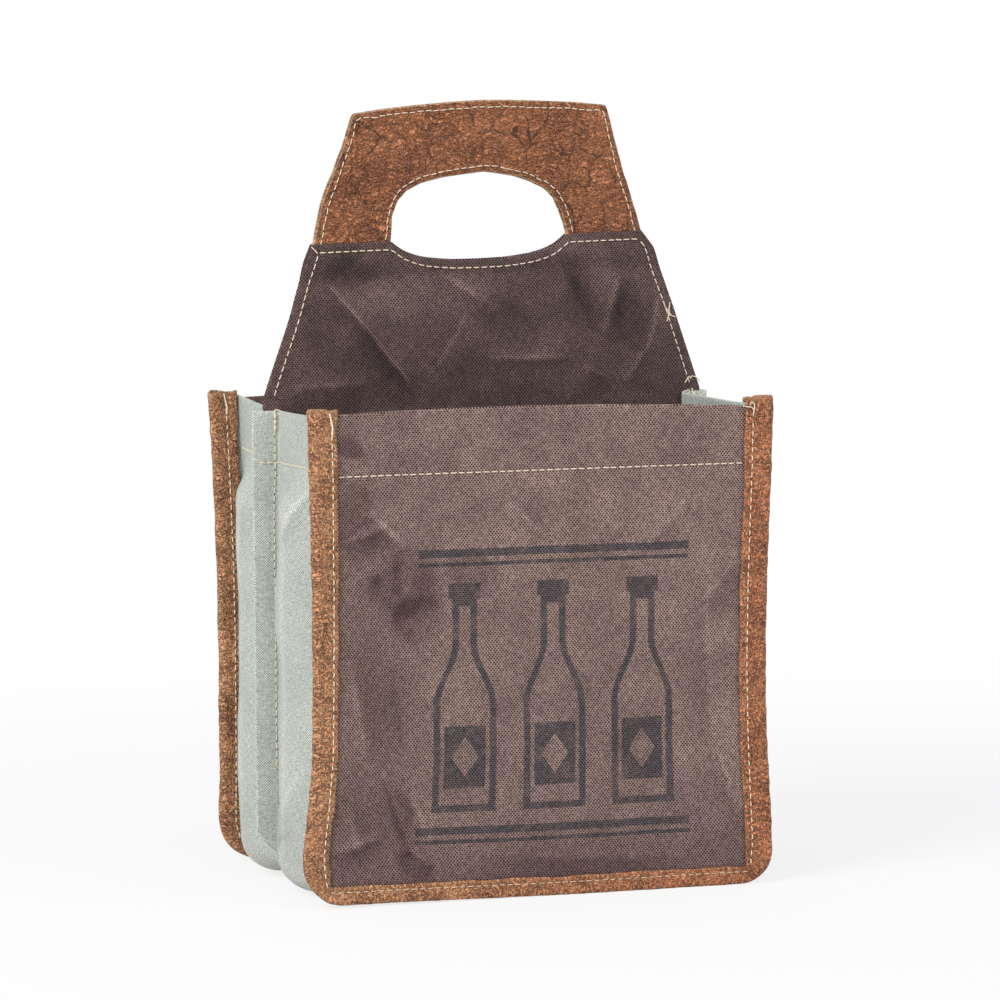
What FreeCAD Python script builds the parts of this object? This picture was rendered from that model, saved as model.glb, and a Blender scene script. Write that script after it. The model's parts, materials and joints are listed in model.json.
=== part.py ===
import FreeCAD, Part
import math
import os
from collections import namedtuple
from types import SimpleNamespace

import Sketcher
from FreeCAD import Placement, Rotation, Vector

# A sewn carrier for six bottles: canvas walls, bound seams and a folding leather handle.
# Frame: origin on the floor under the middle, +X across the width, front towards -Y, +Z up.

# Driving dimensions in millimetres
SIZES = [
    ("canvas", 0.8, "thickness of one layer of canvas"),
    ("leather", 1.6, "thickness of one layer of leather"),
    ("layer_gap", 0.1, "air between two layers that are sewn together"),
    ("overrun", 5.0, "how far a cut runs past the face it opens"),
    ("carrier_width", 220.0, "over the folded edges of the bindings"),
    ("carrier_depth", 150.0, "over the faces of the bindings"),
    ("rim_height", 220.0, "canvas rim above the floor"),
    ("corner_radius", 18.0, "lower corners, at the folded edge of a binding"),
    ("binding_width", 13.5, "upright binding, from its folded edge to its cut edge"),
    ("binding_foot", 9.0, "bottom binding, from the floor to its cut edge"),
    ("binding_rise", 2.5, "binding ends above the canvas rim"),
    ("binding_round", 1.2, "rounding of a binding's folded edge"),
    ("window_radius", 4.0, "corner of a binding's cut edge"),
    ("hem_depth", 28.0, "top hem of the front and back panels"),
    ("bend_radius", 1.5, "middle of the canvas where a gusset turns out of a seam or pleat"),
    ("lobe_radius", 55.0, "swell of a gusset lobe"),
    ("lobe_peak_out", 8.0, "full lobe: corner of its two straight flanks, beyond the half width"),
    ("rim_peak_in", 7.0, "the same corner at the rim, within the half width"),
    ("swell_drop", 60.0, "depth below the rim at which the lobes are full"),
    ("pleat_root_in", 10.0, "root of the side pleat, within the half width"),
    ("pleat_edge_in", 0.5, "folded edge of the side pleat, within the half width"),
    ("divider_in", 4.0, "side edge of the divider, within the half width"),
    ("divider_foot", 46.0, "lower edge of the divider above the floor"),
    ("fold_rise", 2.0, "fold line of the carrying panel above the rim"),
    ("fold_gap", 0.96, "opening between the canvas edges that meet at the fold line"),
    ("canvas_rise", 72.5, "top edge of the carrying panel's canvas above the rim"),
    ("canvas_top_width", 157.0, "that edge, between its outer corners"),
    ("shoulder_width", 166.0, "carrying panel where its sloping sides begin"),
    ("shoulder_drop", 6.5, "from the canvas top edge down to the shoulders"),
    ("leather_tuck", 8.5, "leather hidden between the canvas layers"),
    ("joggle_length", 9.0, "height over which the canvas layers spread round the leather"),
    ("joggle_clear", 0.5, "from the leather's lower edge to the spread canvas"),
    ("handle_rise", 62.5, "top of the handle above the canvas top edge"),
    ("handle_crown", 4.5, "rise of the handle's top edge at its middle"),
    ("handle_top_width", 121.0, "handle between its upper corners"),
    ("handle_foot_width", 161.0, "handle between the outer corners of its hidden feet"),
    ("grip_width", 85.0, "hand hole at the canvas top edge"),
    ("grip_dip", 9.7, "hand hole below the canvas top edge"),
    ("grip_flat", 30.0, "straight middle of the hand hole's lower edge"),
    ("grip_hem_clear", 1.0, "from the turned canvas hem to the leather beside it"),
    ("grip_cheek_width", 81.0, "hand hole where its sides begin to round over"),
    ("grip_cheek_rise", 11.0, "that place above the canvas top edge"),
    ("grip_cheek_radius", 18.8, "rounding of the hand hole's upper corners"),
    ("grip_brow_width", 52.0, "hand hole where its upper corners end"),
    ("grip_brow_rise", 25.0, "that place above the canvas top edge"),
    ("grip_peak_rise", 30.7, "peak of the hand hole above the canvas top edge"),
]
# Rounding of the canvas at a folded edge, as a share of the canvas thickness
FOLD_ROUND_SHARE = 0.95
# Bend of the pleat's folded edge, as a share of half the width between its two layers
PLEAT_BEND_SHARE = 0.95
# Most of a lobe's shorter flank that its rounding may take, as a share of that flank
LOBE_FLANK_SHARE = 0.86
# Flat facets across a gusset lobe, across a small bend, and round the turn under the bottle rows
LOBE_FACETS = 12
BEND_FACETS = 4
CORNER_STEPS = 6
# Two points closer than this count as one
SAME_POINT = 1e-6
LEFT_TURN = 1
RIGHT_TURN = -1
HALF_TURN_DEGREES = 180
QUARTER_TURN_DEGREES = 90


class Size:
    """A length, with its number and the sheet formula that gives that number."""

    def __init__(self, number, formula):
        self.number = number
        self.formula = formula

    def combined(self, sign, other, number):
        return Size(number, f"({self.formula} {sign} {other.formula})")

    def __add__(self, other):
        other = as_size(other)
        return self.combined("+", other, self.number + other.number)

    def __sub__(self, other):
        other = as_size(other)
        return self.combined("-", other, self.number - other.number)

    def __mul__(self, other):
        other = as_size(other)
        return self.combined("*", other, self.number * other.number)

    def __truediv__(self, other):
        other = as_size(other)
        return self.combined("/", other, self.number / other.number)

    def __neg__(self):
        return Size(-self.number, f"(0 - {self.formula})")


def as_size(value):
    return value if isinstance(value, Size) else Size(value, repr(value))


def write_sheet(document):
    """Fills the sheet and returns its sizes by name."""
    sheet = document.addObject("Spreadsheet::Sheet", "Sizes")
    for row, (alias, number, meaning) in enumerate(SIZES, start=1):
        sheet.set(f"A{row}", meaning)
        sheet.set(f"B{row}", str(number))
        sheet.setAlias(f"B{row}", alias)
    document.recompute()
    return SimpleNamespace(
        **{alias: Size(float(sheet.get(alias)), f"Sizes.{alias}") for alias, _, _ in SIZES}
    )


doc = FreeCAD.newDocument("bottle_carrier")
size = write_sheet(doc)
ZERO = as_size(0)

# Places that several pieces share
HALF_WIDTH = size.carrier_width / 2
HALF_DEPTH = size.carrier_depth / 2
BINDING_SLOT = size.canvas * 2 + size.layer_gap * 3
BINDING_THICKNESS = size.leather * 2 + BINDING_SLOT
PANEL_INNER_FACE = HALF_DEPTH - size.leather - size.layer_gap - size.canvas
GUSSET_FLANGE = PANEL_INNER_FACE - size.layer_gap - size.canvas / 2
BINDING_INNER_FACE = HALF_DEPTH - BINDING_THICKNESS
SEAM_INSET = size.leather + size.layer_gap
GUSSET_ROOT = HALF_WIDTH - size.binding_width - size.bend_radius * 2
DIVIDER_HALF_WIDTH = HALF_WIDTH - size.divider_in
CANVAS_INNER_FACE = size.layer_gap / 2
CANVAS_OUTER_FACE = CANVAS_INNER_FACE + size.canvas
FOLD_ROUND = size.canvas * FOLD_ROUND_SHARE
FOLD_HEIGHT = size.rim_height + size.fold_rise
CANVAS_TOP = size.rim_height + size.canvas_rise
LEATHER_FOOT = CANVAS_TOP - size.leather_tuck


# Sketches, bodies and features
def draw_outline(sketch, corners, arcs=None):
    """Draws a closed outline and ties every corner to the sheet.

    arcs gives, by edge number, the radius of a round edge and the way it turns.
    """
    arcs = arcs or {}
    ends = []
    for edge, (start, end) in enumerate(zip(corners, corners[1:] + corners[:1])):
        first = Vector(start[0].number, start[1].number, 0)
        last = Vector(end[0].number, end[1].number, 0)
        if edge not in arcs:
            sketch.addGeometry(Part.LineSegment(first, last))
            ends.append((1, 2))
            continue
        radius, turn = arcs[edge]
        sketch.addGeometry(round_edge(first, last, radius.number, turn))
        ends.append((1, 2) if turn == LEFT_TURN else (2, 1))
        tie(sketch, "Radius", [edge], radius)
    for edge, (first_end, last_end) in enumerate(ends):
        following = (edge + 1) % len(ends)
        sketch.addConstraint(
            Sketcher.Constraint("Coincident", edge, last_end, following, ends[following][0])
        )
        tie_place(sketch, "DistanceX", -2, edge, first_end, corners[edge][0])
        tie_place(sketch, "DistanceY", -1, edge, first_end, corners[edge][1])


def round_edge(first, last, radius, turn):
    """The shorter arc of that radius from first to last."""
    chord = last - first
    to_centre = math.sqrt(radius**2 - (chord.Length / 2) ** 2)
    left = Vector(-chord.y, chord.x, 0).normalize()
    centre = (first + last) / 2 + left * (to_centre * turn)
    start, end = (first, last) if turn == LEFT_TURN else (last, first)
    circle = Part.Circle(centre, Vector(0, 0, 1), radius)
    return Part.ArcOfCircle(circle, angle_from(centre, start), angle_from(centre, end))


def angle_from(centre, point):
    return math.atan2(point.y - centre.y, point.x - centre.x)


def tie(sketch, kind, where, length):
    """Adds a constraint whose value comes from the sheet."""
    index = sketch.addConstraint(Sketcher.Constraint(kind, *where, length.number))
    sketch.setExpression(f"Constraints[{index}]", length.formula)


def tie_place(sketch, kind, axis, edge, end, place):
    """Ties one coordinate of an edge's end to the sheet, measured from the origin."""
    if place.number == 0:
        sketch.addConstraint(Sketcher.Constraint("PointOnObject", edge, end, axis))
    elif place.number > 0:
        tie(sketch, kind, [-1, 1, edge, end], place)
    else:
        tie(sketch, kind, [edge, end, -1, 1], -place)


def new_body(label):
    body = doc.addObject("PartDesign::Body", label)
    body.Label = label
    return body


def new_sketch(body, name, plane, height=ZERO):
    """A sketch on one of the body's own planes, raised along that plane's normal."""
    sketch = body.newObject("Sketcher::SketchObject", f"{body.Name}_{name}")
    support = [feature for feature in body.Origin.OriginFeatures if feature.Role == plane]
    sketch.AttachmentSupport = [(support[0], "")]
    sketch.MapMode = "FlatFace"
    sketch.setExpression("AttachmentOffset.Base.z", height.formula)
    return sketch


def add_pad(body, sketch, length, side="One side", reverse=False):
    pad = body.newObject("PartDesign::Pad", f"{sketch.Name}_pad")
    pad.Profile = sketch
    pad.SideType = side
    pad.Reversed = reverse
    pad.setExpression("Length", length.formula)
    return pad


def add_pocket(body, sketch, length):
    """Cuts from the sketch along its plane's normal, and checks that it cut."""
    doc.recompute()
    volume_before = body.Shape.Volume
    pocket = body.newObject("PartDesign::Pocket", f"{sketch.Name}_pocket")
    pocket.Profile = sketch
    pocket.Reversed = True
    pocket.setExpression("Length", length.formula)
    doc.recompute()
    if not body.Shape.Volume < volume_before:
        raise RuntimeError(f"{pocket.Name} cuts nothing")
    return pocket


def add_fillet(body, base, radius, wanted):
    """Rounds the edges of base for which wanted(edge) is true."""
    doc.recompute()
    names = [f"Edge{n}" for n, edge in enumerate(base.Shape.Edges, start=1) if wanted(edge)]
    fillet = body.newObject("PartDesign::Fillet", f"{base.Name}_fillet")
    fillet.Base = (base, names)
    fillet.setExpression("Radius", radius.formula)
    return fillet


def near(first, second):
    return abs(first - second) < SAME_POINT


def rounded_foot(half_width, bottom, top, radius):
    """Corners and arcs of an upright outline with two round lower corners."""
    corners = [
        (-half_width, top),
        (-half_width, bottom + radius),
        (radius - half_width, bottom),
        (half_width - radius, bottom),
        (half_width, bottom + radius),
        (half_width, top),
    ]
    return corners, {1: (radius, LEFT_TURN), 3: (radius, LEFT_TURN)}


def set_face_to_front(piece, distance):
    """Moves a piece so that its zero plane lies at that distance in front of the middle."""
    piece.setExpression("Placement.Base.y", (-distance).formula)


def set_face_to_back(piece, distance):
    """Turns a piece round so that it faces the back, at that distance from the middle."""
    turn = Rotation(Vector(0, 0, 1), HALF_TURN_DEGREES)
    piece.Placement = Placement(Vector(0, 0, 0), turn)
    piece.setExpression("Placement.Base.y", distance.formula)


# Front and back panels: one cut of canvas, its top turned in as a hem
def make_panel(label):
    body = new_body(label)
    outline = new_sketch(body, "outline", "XZ_Plane")
    half_width = HALF_WIDTH - SEAM_INSET
    draw_outline(
        outline,
        *rounded_foot(half_width, SEAM_INSET, size.rim_height, size.corner_radius - SEAM_INSET),
    )
    add_pad(body, outline, size.canvas)
    hem = new_sketch(body, "hem", "XZ_Plane")
    hem_half_width = GUSSET_ROOT - size.bend_radius
    hem_foot = size.rim_height - size.hem_depth
    draw_outline(
        hem,
        [
            (-hem_half_width, hem_foot),
            (hem_half_width, hem_foot),
            (hem_half_width, size.rim_height),
            (-hem_half_width, size.rim_height),
        ],
    )
    turned_in = add_pad(body, hem, size.canvas, reverse=True)

    def is_hem_fold(edge):
        box = edge.BoundBox
        at_rim = near(box.ZMin, size.rim_height.number) and near(box.ZLength, 0)
        on_face = near(box.YMin, size.canvas.number) or near(box.YMin, -size.canvas.number)
        return at_rim and on_face and near(box.YLength, 0)

    add_fillet(body, turned_in, FOLD_ROUND, is_hem_fold)
    return body


# Bindings: one leather strip each, folded over the seam round three sides
def make_binding(label):
    body = new_body(label)
    top = size.rim_height + size.binding_rise
    above_top = top + size.overrun
    outline = new_sketch(body, "outline", "XZ_Plane")
    draw_outline(outline, *rounded_foot(HALF_WIDTH, ZERO, top, size.corner_radius))
    add_pad(body, outline, BINDING_THICKNESS)
    window = new_sketch(body, "window", "XZ_Plane")
    draw_outline(
        window,
        *rounded_foot(
            HALF_WIDTH - size.binding_width, size.binding_foot, above_top, size.window_radius
        ),
    )
    add_pocket(body, window, BINDING_THICKNESS + size.overrun)
    slot = new_sketch(body, "slot", "XZ_Plane", height=size.leather)
    draw_outline(
        slot,
        *rounded_foot(
            HALF_WIDTH - size.leather, size.leather, above_top, size.corner_radius - size.leather
        ),
    )
    folded = add_pocket(body, slot, BINDING_SLOT)

    def is_folded_edge(edge):
        box = edge.BoundBox
        on_face = near(box.YMin, 0) or near(box.YMin, -BINDING_THICKNESS.number)
        on_outline = all(
            near(abs(corner.X), HALF_WIDTH.number) or near(corner.Z, 0) for corner in edge.Vertexes
        )
        return on_face and near(box.YLength, 0) and on_outline

    add_fillet(body, folded, size.binding_round, is_folded_edge)
    return body


# Divider: two flat layers of canvas between the bottle rows, round where they fold
def make_divider_layer(label):
    body = new_body(label)
    profile = new_sketch(body, "profile", "YZ_Plane")
    top = FOLD_HEIGHT - size.fold_gap / 2
    draw_outline(
        profile,
        [
            (CANVAS_INNER_FACE, size.divider_foot),
            (CANVAS_OUTER_FACE, size.divider_foot),
            (CANVAS_OUTER_FACE, top - FOLD_ROUND),
            (CANVAS_OUTER_FACE - FOLD_ROUND, top),
            (CANVAS_INNER_FACE, top),
        ],
        {2: (FOLD_ROUND, LEFT_TURN)},
    )
    add_pad(body, profile, DIVIDER_HALF_WIDTH * 2, side="Symmetric")
    return body


# Carrying panel: canvas that spreads round the feet of the leather, notched for the hand
def canvas_profile_corners():
    """The upright section of one canvas layer, from its fold line to its top edge."""
    bottom = FOLD_HEIGHT + size.fold_gap / 2
    spread = size.leather + size.layer_gap
    joggle_top = LEATHER_FOOT - size.joggle_clear
    joggle_foot = joggle_top - size.joggle_length
    return [
        (CANVAS_INNER_FACE, bottom),
        (CANVAS_OUTER_FACE - FOLD_ROUND, bottom),
        (CANVAS_OUTER_FACE, bottom + FOLD_ROUND),
        (CANVAS_OUTER_FACE, joggle_foot),
        (CANVAS_OUTER_FACE + spread, joggle_top),
        (CANVAS_OUTER_FACE + spread, CANVAS_TOP),
        (CANVAS_INNER_FACE + spread, CANVAS_TOP),
        (CANVAS_INNER_FACE + spread, joggle_top),
        (CANVAS_INNER_FACE, joggle_foot),
    ]


def canvas_outline():
    """Corners and arcs of the carrying panel's canvas, seen from the front."""
    bottom = FOLD_HEIGHT + size.fold_gap / 2
    shoulder = size.shoulder_width / 2
    top = size.canvas_top_width / 2
    grip = size.grip_width / 2
    flat = size.grip_flat / 2
    grip_floor = CANVAS_TOP - size.grip_dip
    run = grip - flat
    grip_radius = (run * run + size.grip_dip * size.grip_dip) / (size.grip_dip * 2)
    right = [
        (DIVIDER_HALF_WIDTH, bottom),
        (shoulder, CANVAS_TOP - size.shoulder_drop),
        (top, CANVAS_TOP),
        (grip, CANVAS_TOP),
        (flat, grip_floor),
    ]
    left = [(-x, z) for x, z in reversed(right)]
    return right + left, {3: (grip_radius, RIGHT_TURN), 5: (grip_radius, RIGHT_TURN)}


def extruded(name, turn, corners, arcs, length):
    """A sketch stood up by turn and drawn out to both sides of its plane."""
    sketch = doc.addObject("Sketcher::SketchObject", f"{name}_sketch")
    sketch.Placement = Placement(Vector(0, 0, 0), turn)
    draw_outline(sketch, corners, arcs)
    solid = doc.addObject("Part::Extrusion", name)
    solid.Base = sketch
    solid.DirMode = "Normal"
    solid.Solid = True
    solid.Symmetric = True
    solid.setExpression("LengthFwd", length.formula)
    return solid


def make_canvas_layer(label):
    to_side_view = Rotation(Vector(1, 1, 1), HALF_TURN_DEGREES * 2 / 3)
    to_front_view = Rotation(Vector(1, 0, 0), QUARTER_TURN_DEGREES)
    layer = extruded(
        f"{label}_layer", to_side_view, canvas_profile_corners(), {1: (FOLD_ROUND, LEFT_TURN)},
        size.carrier_width,
    )
    hem = doc.addObject("Part::Box", f"{label}_hem")
    hem_half_width = size.grip_width / 2 - size.grip_hem_clear
    hem_foot = LEATHER_FOOT - size.joggle_clear
    hem.setExpression("Length", (hem_half_width * 2).formula)
    hem.setExpression("Width", (size.leather + size.layer_gap).formula)
    hem.setExpression("Height", (CANVAS_TOP - hem_foot).formula)
    hem.setExpression("Placement.Base.x", (-hem_half_width).formula)
    hem.setExpression("Placement.Base.y", CANVAS_INNER_FACE.formula)
    hem.setExpression("Placement.Base.z", hem_foot.formula)
    sewn = doc.addObject("Part::MultiFuse", f"{label}_sewn")
    sewn.Shapes = [layer, hem]
    corners, arcs = canvas_outline()
    cut = extruded(f"{label}_cut", to_front_view, corners, arcs, size.carrier_depth)
    piece = doc.addObject("Part::Common", label)
    piece.Label = label
    piece.Base = sewn
    piece.Tool = cut
    return piece


# Handle leather: an arch with a peaked hand hole and two feet
def make_handle_leather(label):
    body = new_body(label)
    outline = new_sketch(body, "outline", "XZ_Plane")
    top = size.handle_top_width / 2
    corner_height = CANVAS_TOP + size.handle_rise - size.handle_crown
    crown_radius = (top * top + size.handle_crown * size.handle_crown) / (size.handle_crown * 2)
    grip = size.grip_width / 2
    right_side = [
        (grip, CANVAS_TOP),
        (grip, LEATHER_FOOT),
        (size.handle_foot_width / 2, LEATHER_FOOT),
        (top, corner_height),
    ]
    left_side = [(-x, z) for x, z in reversed(right_side)]
    left_brow = [
        (-size.grip_cheek_width / 2, CANVAS_TOP + size.grip_cheek_rise),
        (-size.grip_brow_width / 2, CANVAS_TOP + size.grip_brow_rise),
    ]
    right_brow = [(-x, z) for x, z in reversed(left_brow)]
    peak = (ZERO, CANVAS_TOP + size.grip_peak_rise)
    arcs = {
        3: (crown_radius, LEFT_TURN),
        8: (size.grip_cheek_radius, RIGHT_TURN),
        11: (size.grip_cheek_radius, RIGHT_TURN),
    }
    draw_outline(outline, right_side + left_side + left_brow + [peak] + right_brow, arcs)
    add_pad(body, outline, size.leather)
    return body


# Gussets and base: one band of canvas, sewn into both seams and swelling between them
Bend = namedtuple("Bend", "radius facets")


class Run:
    """A line of canvas through corners, each bent in flat facets. Points are (out, across)."""

    def __init__(self, corners, bends):
        self.corners = [Vector(out, across, 0) for out, across in corners]
        self.bends = bends

    def directions(self):
        pairs = zip(self.corners, self.corners[1:])
        return [(end - start).normalize() for start, end in pairs]

    def moved_aside(self, distance):
        """The same run, moved to its left by that distance."""
        headings = self.directions()
        normals = [Vector(-heading.y, heading.x, 0) for heading in headings]
        before = [normals[0]] + normals
        after = normals + [normals[-1]]
        moved = Run([], [])
        for corner, first, second in zip(self.corners, before, after):
            moved.corners.append(corner + (first + second) * (distance / (1 + first.dot(second))))
        for bend, first, second in zip(self.bends, headings, headings[1:]):
            turn = math.copysign(1, first.cross(second).z)
            moved.bends.append(bend._replace(radius=bend.radius - turn * distance))
        return moved

    def points(self):
        """The ends of the run, and between them the points that each bend passes through."""
        found = [self.corners[0]]
        headings = self.directions()
        for corner, bend, first, second in zip(self.corners[1:], self.bends, headings, headings[1:]):
            half_turn = first.getAngle(second) / 2
            inward = (second - first).normalize()
            onward = (second + first).normalize()
            centre = corner + inward * (bend.radius / math.cos(half_turn))
            for step in range(bend.facets + 1):
                angle = half_turn * (2 * step / bend.facets - 1)
                reach = onward * math.sin(angle) - inward * math.cos(angle)
                found.append(centre + reach * bend.radius)
        return found + [self.corners[-1]]


def band_ring(run, place):
    """The edge of a canvas-thick band along a run; place puts each point into the frame."""
    left = run.moved_aside(size.canvas.number / 2).points()
    right = run.moved_aside(-size.canvas.number / 2).points()
    return [place(point) for point in left + right[::-1]]


def flat_facet(points):
    return Part.Face(Part.makePolygon(points + points[:1]))


def faceted_solid(rings):
    """A solid through rings of as many points each, with two flat facets between four points."""
    facets = [flat_facet(rings[0]), flat_facet(rings[-1])]
    for near_ring, far_ring in zip(rings, rings[1:]):
        near_edges = zip(near_ring, near_ring[1:] + near_ring[:1])
        far_edges = zip(far_ring, far_ring[1:] + far_ring[:1])
        for (near_start, near_end), (far_start, far_end) in zip(near_edges, far_edges):
            facets.append(flat_facet([near_start, near_end, far_end]))
            facets.append(flat_facet([near_start, far_end, far_start]))
    return Part.Solid(Part.Shell(facets))


def gusset_run(peak):
    """The level section of a gusset: flange, lobe, pleat, lobe and flange. Out is to the side."""
    flange = GUSSET_FLANGE.number
    flange_end = (HALF_WIDTH - SEAM_INSET).number
    root = GUSSET_ROOT.number
    layer = (CANVAS_OUTER_FACE + size.layer_gap + size.canvas / 2).number
    lobe_middle = (flange + layer) / 2
    pleat_root = (HALF_WIDTH - size.pleat_root_in).number
    pleat_edge = (HALF_WIDTH - size.pleat_edge_in - size.canvas / 2).number
    front_half = [
        (flange_end, -flange),
        (root, -flange),
        (peak, -lobe_middle),
        (pleat_root, -layer),
        (pleat_edge, -layer),
    ]
    back_half = [(out, -across) for out, across in reversed(front_half)]
    small_bend = Bend(size.bend_radius.number, BEND_FACETS)
    lobe_bend = Bend(lobe_rounding(*front_half[1:4]), LOBE_FACETS)
    pleat_bend = Bend(layer * PLEAT_BEND_SHARE, BEND_FACETS)
    front_bends = [small_bend, lobe_bend, small_bend, pleat_bend]
    return Run(front_half + back_half, front_bends + front_bends[::-1])


def lobe_rounding(root, peak, pleat_root):
    """The lobe's radius at its peak, limited by the shorter of the two flanks that it rounds."""
    rising = Vector(peak[0] - root[0], peak[1] - root[1], 0)
    falling = Vector(pleat_root[0] - peak[0], pleat_root[1] - peak[1], 0)
    shorter_flank = min(rising.Length, falling.Length)
    widest = LOBE_FLANK_SHARE * shorter_flank / math.tan(rising.getAngle(falling) / 2)
    return min(size.lobe_radius.number, widest)


def open_run(peak):
    """The section below the pleat: two lobes that meet in a shallow valley."""
    pleated = gusset_run(peak)
    front_half = [(corner.x, corner.y) for corner in pleated.corners[:3]]
    valley = ((HALF_WIDTH - size.pleat_root_in).number, 0)
    back_half = [(out, -across) for out, across in reversed(front_half)]
    front_bends = pleated.bends[:2]
    return Run(
        front_half + [valley] + back_half, front_bends + [pleated.bends[2]] + front_bends[::-1]
    )


FULL_PEAK = (HALF_WIDTH + size.lobe_peak_out).number
RIM_PEAK = (HALF_WIDTH - size.rim_peak_in).number
# A gusset turns under with the corner of its seam, but about no axis nearer than its own root
GUSSET_TURN = max(
    size.corner_radius.number, (HALF_WIDTH - GUSSET_ROOT + size.bend_radius).number
)
TURN_AXIS_OUT = HALF_WIDTH.number - GUSSET_TURN


def left_side_at(height):
    """Places a level section of the left gusset at that height."""
    return lambda point: Vector(-point.x, point.y, height)


def left_side_turned(turn):
    """Places a section of the left gusset that has turned under by that angle, in radians."""

    def place(point):
        reach = point.x - TURN_AXIS_OUT
        out = TURN_AXIS_OUT + reach * math.cos(turn)
        return Vector(-out, point.y, GUSSET_TURN - reach * math.sin(turn))

    return place


def make_gusset(label):
    """A left gusset: swelling below a flat rim, then straight, then turned under the bottle rows."""
    rim = size.rim_height.number
    pleated = faceted_solid([
        band_ring(gusset_run(RIM_PEAK), left_side_at(rim)),
        band_ring(gusset_run(FULL_PEAK), left_side_at(rim - size.swell_drop.number)),
        band_ring(gusset_run(FULL_PEAK), left_side_at(GUSSET_TURN)),
    ])
    turns = [math.pi / 2 * step / CORNER_STEPS for step in range(CORNER_STEPS + 1)]
    turned_under = faceted_solid(
        [band_ring(open_run(FULL_PEAK), left_side_turned(turn)) for turn in turns]
    )
    gusset = doc.addObject("Part::Feature", label)
    gusset.Label = label
    gusset.Shape = pleated.fuse(turned_under).removeSplitter()
    return gusset


def make_base(label):
    """The band's level stretch under the bottles, between the two turned corners."""
    section = band_ring(
        open_run(FULL_PEAK),
        lambda point: Vector(-TURN_AXIS_OUT, point.y, HALF_WIDTH.number - point.x),
    )
    base = doc.addObject("Part::Feature", label)
    base.Label = label
    base.Shape = flat_facet(section).extrude(Vector(TURN_AXIS_OUT * 2, 0, 0))
    return base


# The carrier, piece by piece
def make_carrier():
    front_panel = make_panel("front_panel")
    back_panel = make_panel("back_panel")
    set_face_to_front(front_panel, PANEL_INNER_FACE)
    set_face_to_back(back_panel, PANEL_INNER_FACE)

    front_binding = make_binding("front_binding")
    back_binding = make_binding("back_binding")
    set_face_to_front(front_binding, BINDING_INNER_FACE)
    set_face_to_back(back_binding, BINDING_INNER_FACE)

    left_gusset = make_gusset("left_gusset")
    right_gusset = make_gusset("right_gusset")
    set_face_to_back(right_gusset, ZERO)
    base_panel = make_base("base_panel")

    divider_front = make_divider_layer("divider_front")
    divider_back = make_divider_layer("divider_back")
    set_face_to_back(divider_front, ZERO)

    canvas_front = make_canvas_layer("handle_canvas_front")
    canvas_back = make_canvas_layer("handle_canvas_back")
    set_face_to_back(canvas_front, ZERO)

    leather_front = make_handle_leather("handle_leather_front")
    leather_back = make_handle_leather("handle_leather_back")
    set_face_to_front(leather_front, CANVAS_INNER_FACE)
    set_face_to_back(leather_back, CANVAS_INNER_FACE)

    return [
        front_panel, back_panel, front_binding, back_binding,
        left_gusset, right_gusset, base_panel, divider_front, divider_back,
        canvas_front, canvas_back, leather_front, leather_back,
    ]


def check_and_write(pieces):
    """Stops on any failed object or broken solid, then writes one file per piece."""
    doc.recompute()
    for item in doc.Objects:
        if "Invalid" in item.State or "Error" in item.State:
            raise RuntimeError(f"{item.Name} failed: {item.State}")
    for piece in pieces:
        if piece.Shape.isNull() or not piece.Shape.isValid() or len(piece.Shape.Solids) != 1:
            raise RuntimeError(f"{piece.Label} is not one valid solid")
    os.makedirs("parts", exist_ok=True)
    for piece in pieces:
        piece.Shape.exportStep(f"parts/{piece.Label}.step")
        box = piece.Shape.BoundBox
        print(
            f"{piece.Label}: x {box.XMin:.1f} to {box.XMax:.1f}, y {box.YMin:.1f} to {box.YMax:.1f}, "
            f"z {box.ZMin:.1f} to {box.ZMax:.1f}, volume {piece.Shape.Volume:.0f} mm3"
        )


check_and_write(make_carrier())
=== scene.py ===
# %% [markdown]
# # A sewn bottle carrier
# Canvas walls, pleated sides, leather bindings and a leather grip on a panel that folds at the rim.
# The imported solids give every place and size. Each cell below dresses one piece of them.

# %% Load the frame
import json
import math

import bpy
import numpy as np
from mathutils import Matrix, Vector


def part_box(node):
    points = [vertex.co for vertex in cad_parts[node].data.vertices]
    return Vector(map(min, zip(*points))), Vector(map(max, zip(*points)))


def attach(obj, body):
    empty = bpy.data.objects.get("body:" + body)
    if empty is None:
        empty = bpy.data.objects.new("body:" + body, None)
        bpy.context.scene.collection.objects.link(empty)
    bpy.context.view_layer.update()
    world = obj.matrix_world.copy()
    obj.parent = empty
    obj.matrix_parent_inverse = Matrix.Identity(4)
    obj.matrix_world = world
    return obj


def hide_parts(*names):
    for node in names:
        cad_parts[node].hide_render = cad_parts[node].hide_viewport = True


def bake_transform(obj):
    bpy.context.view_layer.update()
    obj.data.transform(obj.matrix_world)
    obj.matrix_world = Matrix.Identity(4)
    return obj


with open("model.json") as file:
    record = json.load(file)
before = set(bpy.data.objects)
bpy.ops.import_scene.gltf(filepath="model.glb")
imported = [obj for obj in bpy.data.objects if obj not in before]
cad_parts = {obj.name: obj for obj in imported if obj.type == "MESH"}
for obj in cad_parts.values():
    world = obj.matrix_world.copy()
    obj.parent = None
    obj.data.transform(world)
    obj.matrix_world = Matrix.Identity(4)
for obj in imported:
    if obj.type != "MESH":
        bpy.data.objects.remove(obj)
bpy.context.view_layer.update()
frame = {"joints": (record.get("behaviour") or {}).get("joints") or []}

# %% [markdown]
# ## Sizes from the frame
# A maker of bags thinks in millimetres, so the shapes below do too, and only the mesh builder turns
# them into metres. The main sizes are read from the solids, so that the looks follow the construction.

# %% Read the driving sizes
MM = 0.001


def millimetres(node):
    """Lowest and highest corner of a solid, in millimetres."""
    low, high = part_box(node)
    return np.array(low) / MM, np.array(high) / MM


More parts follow.
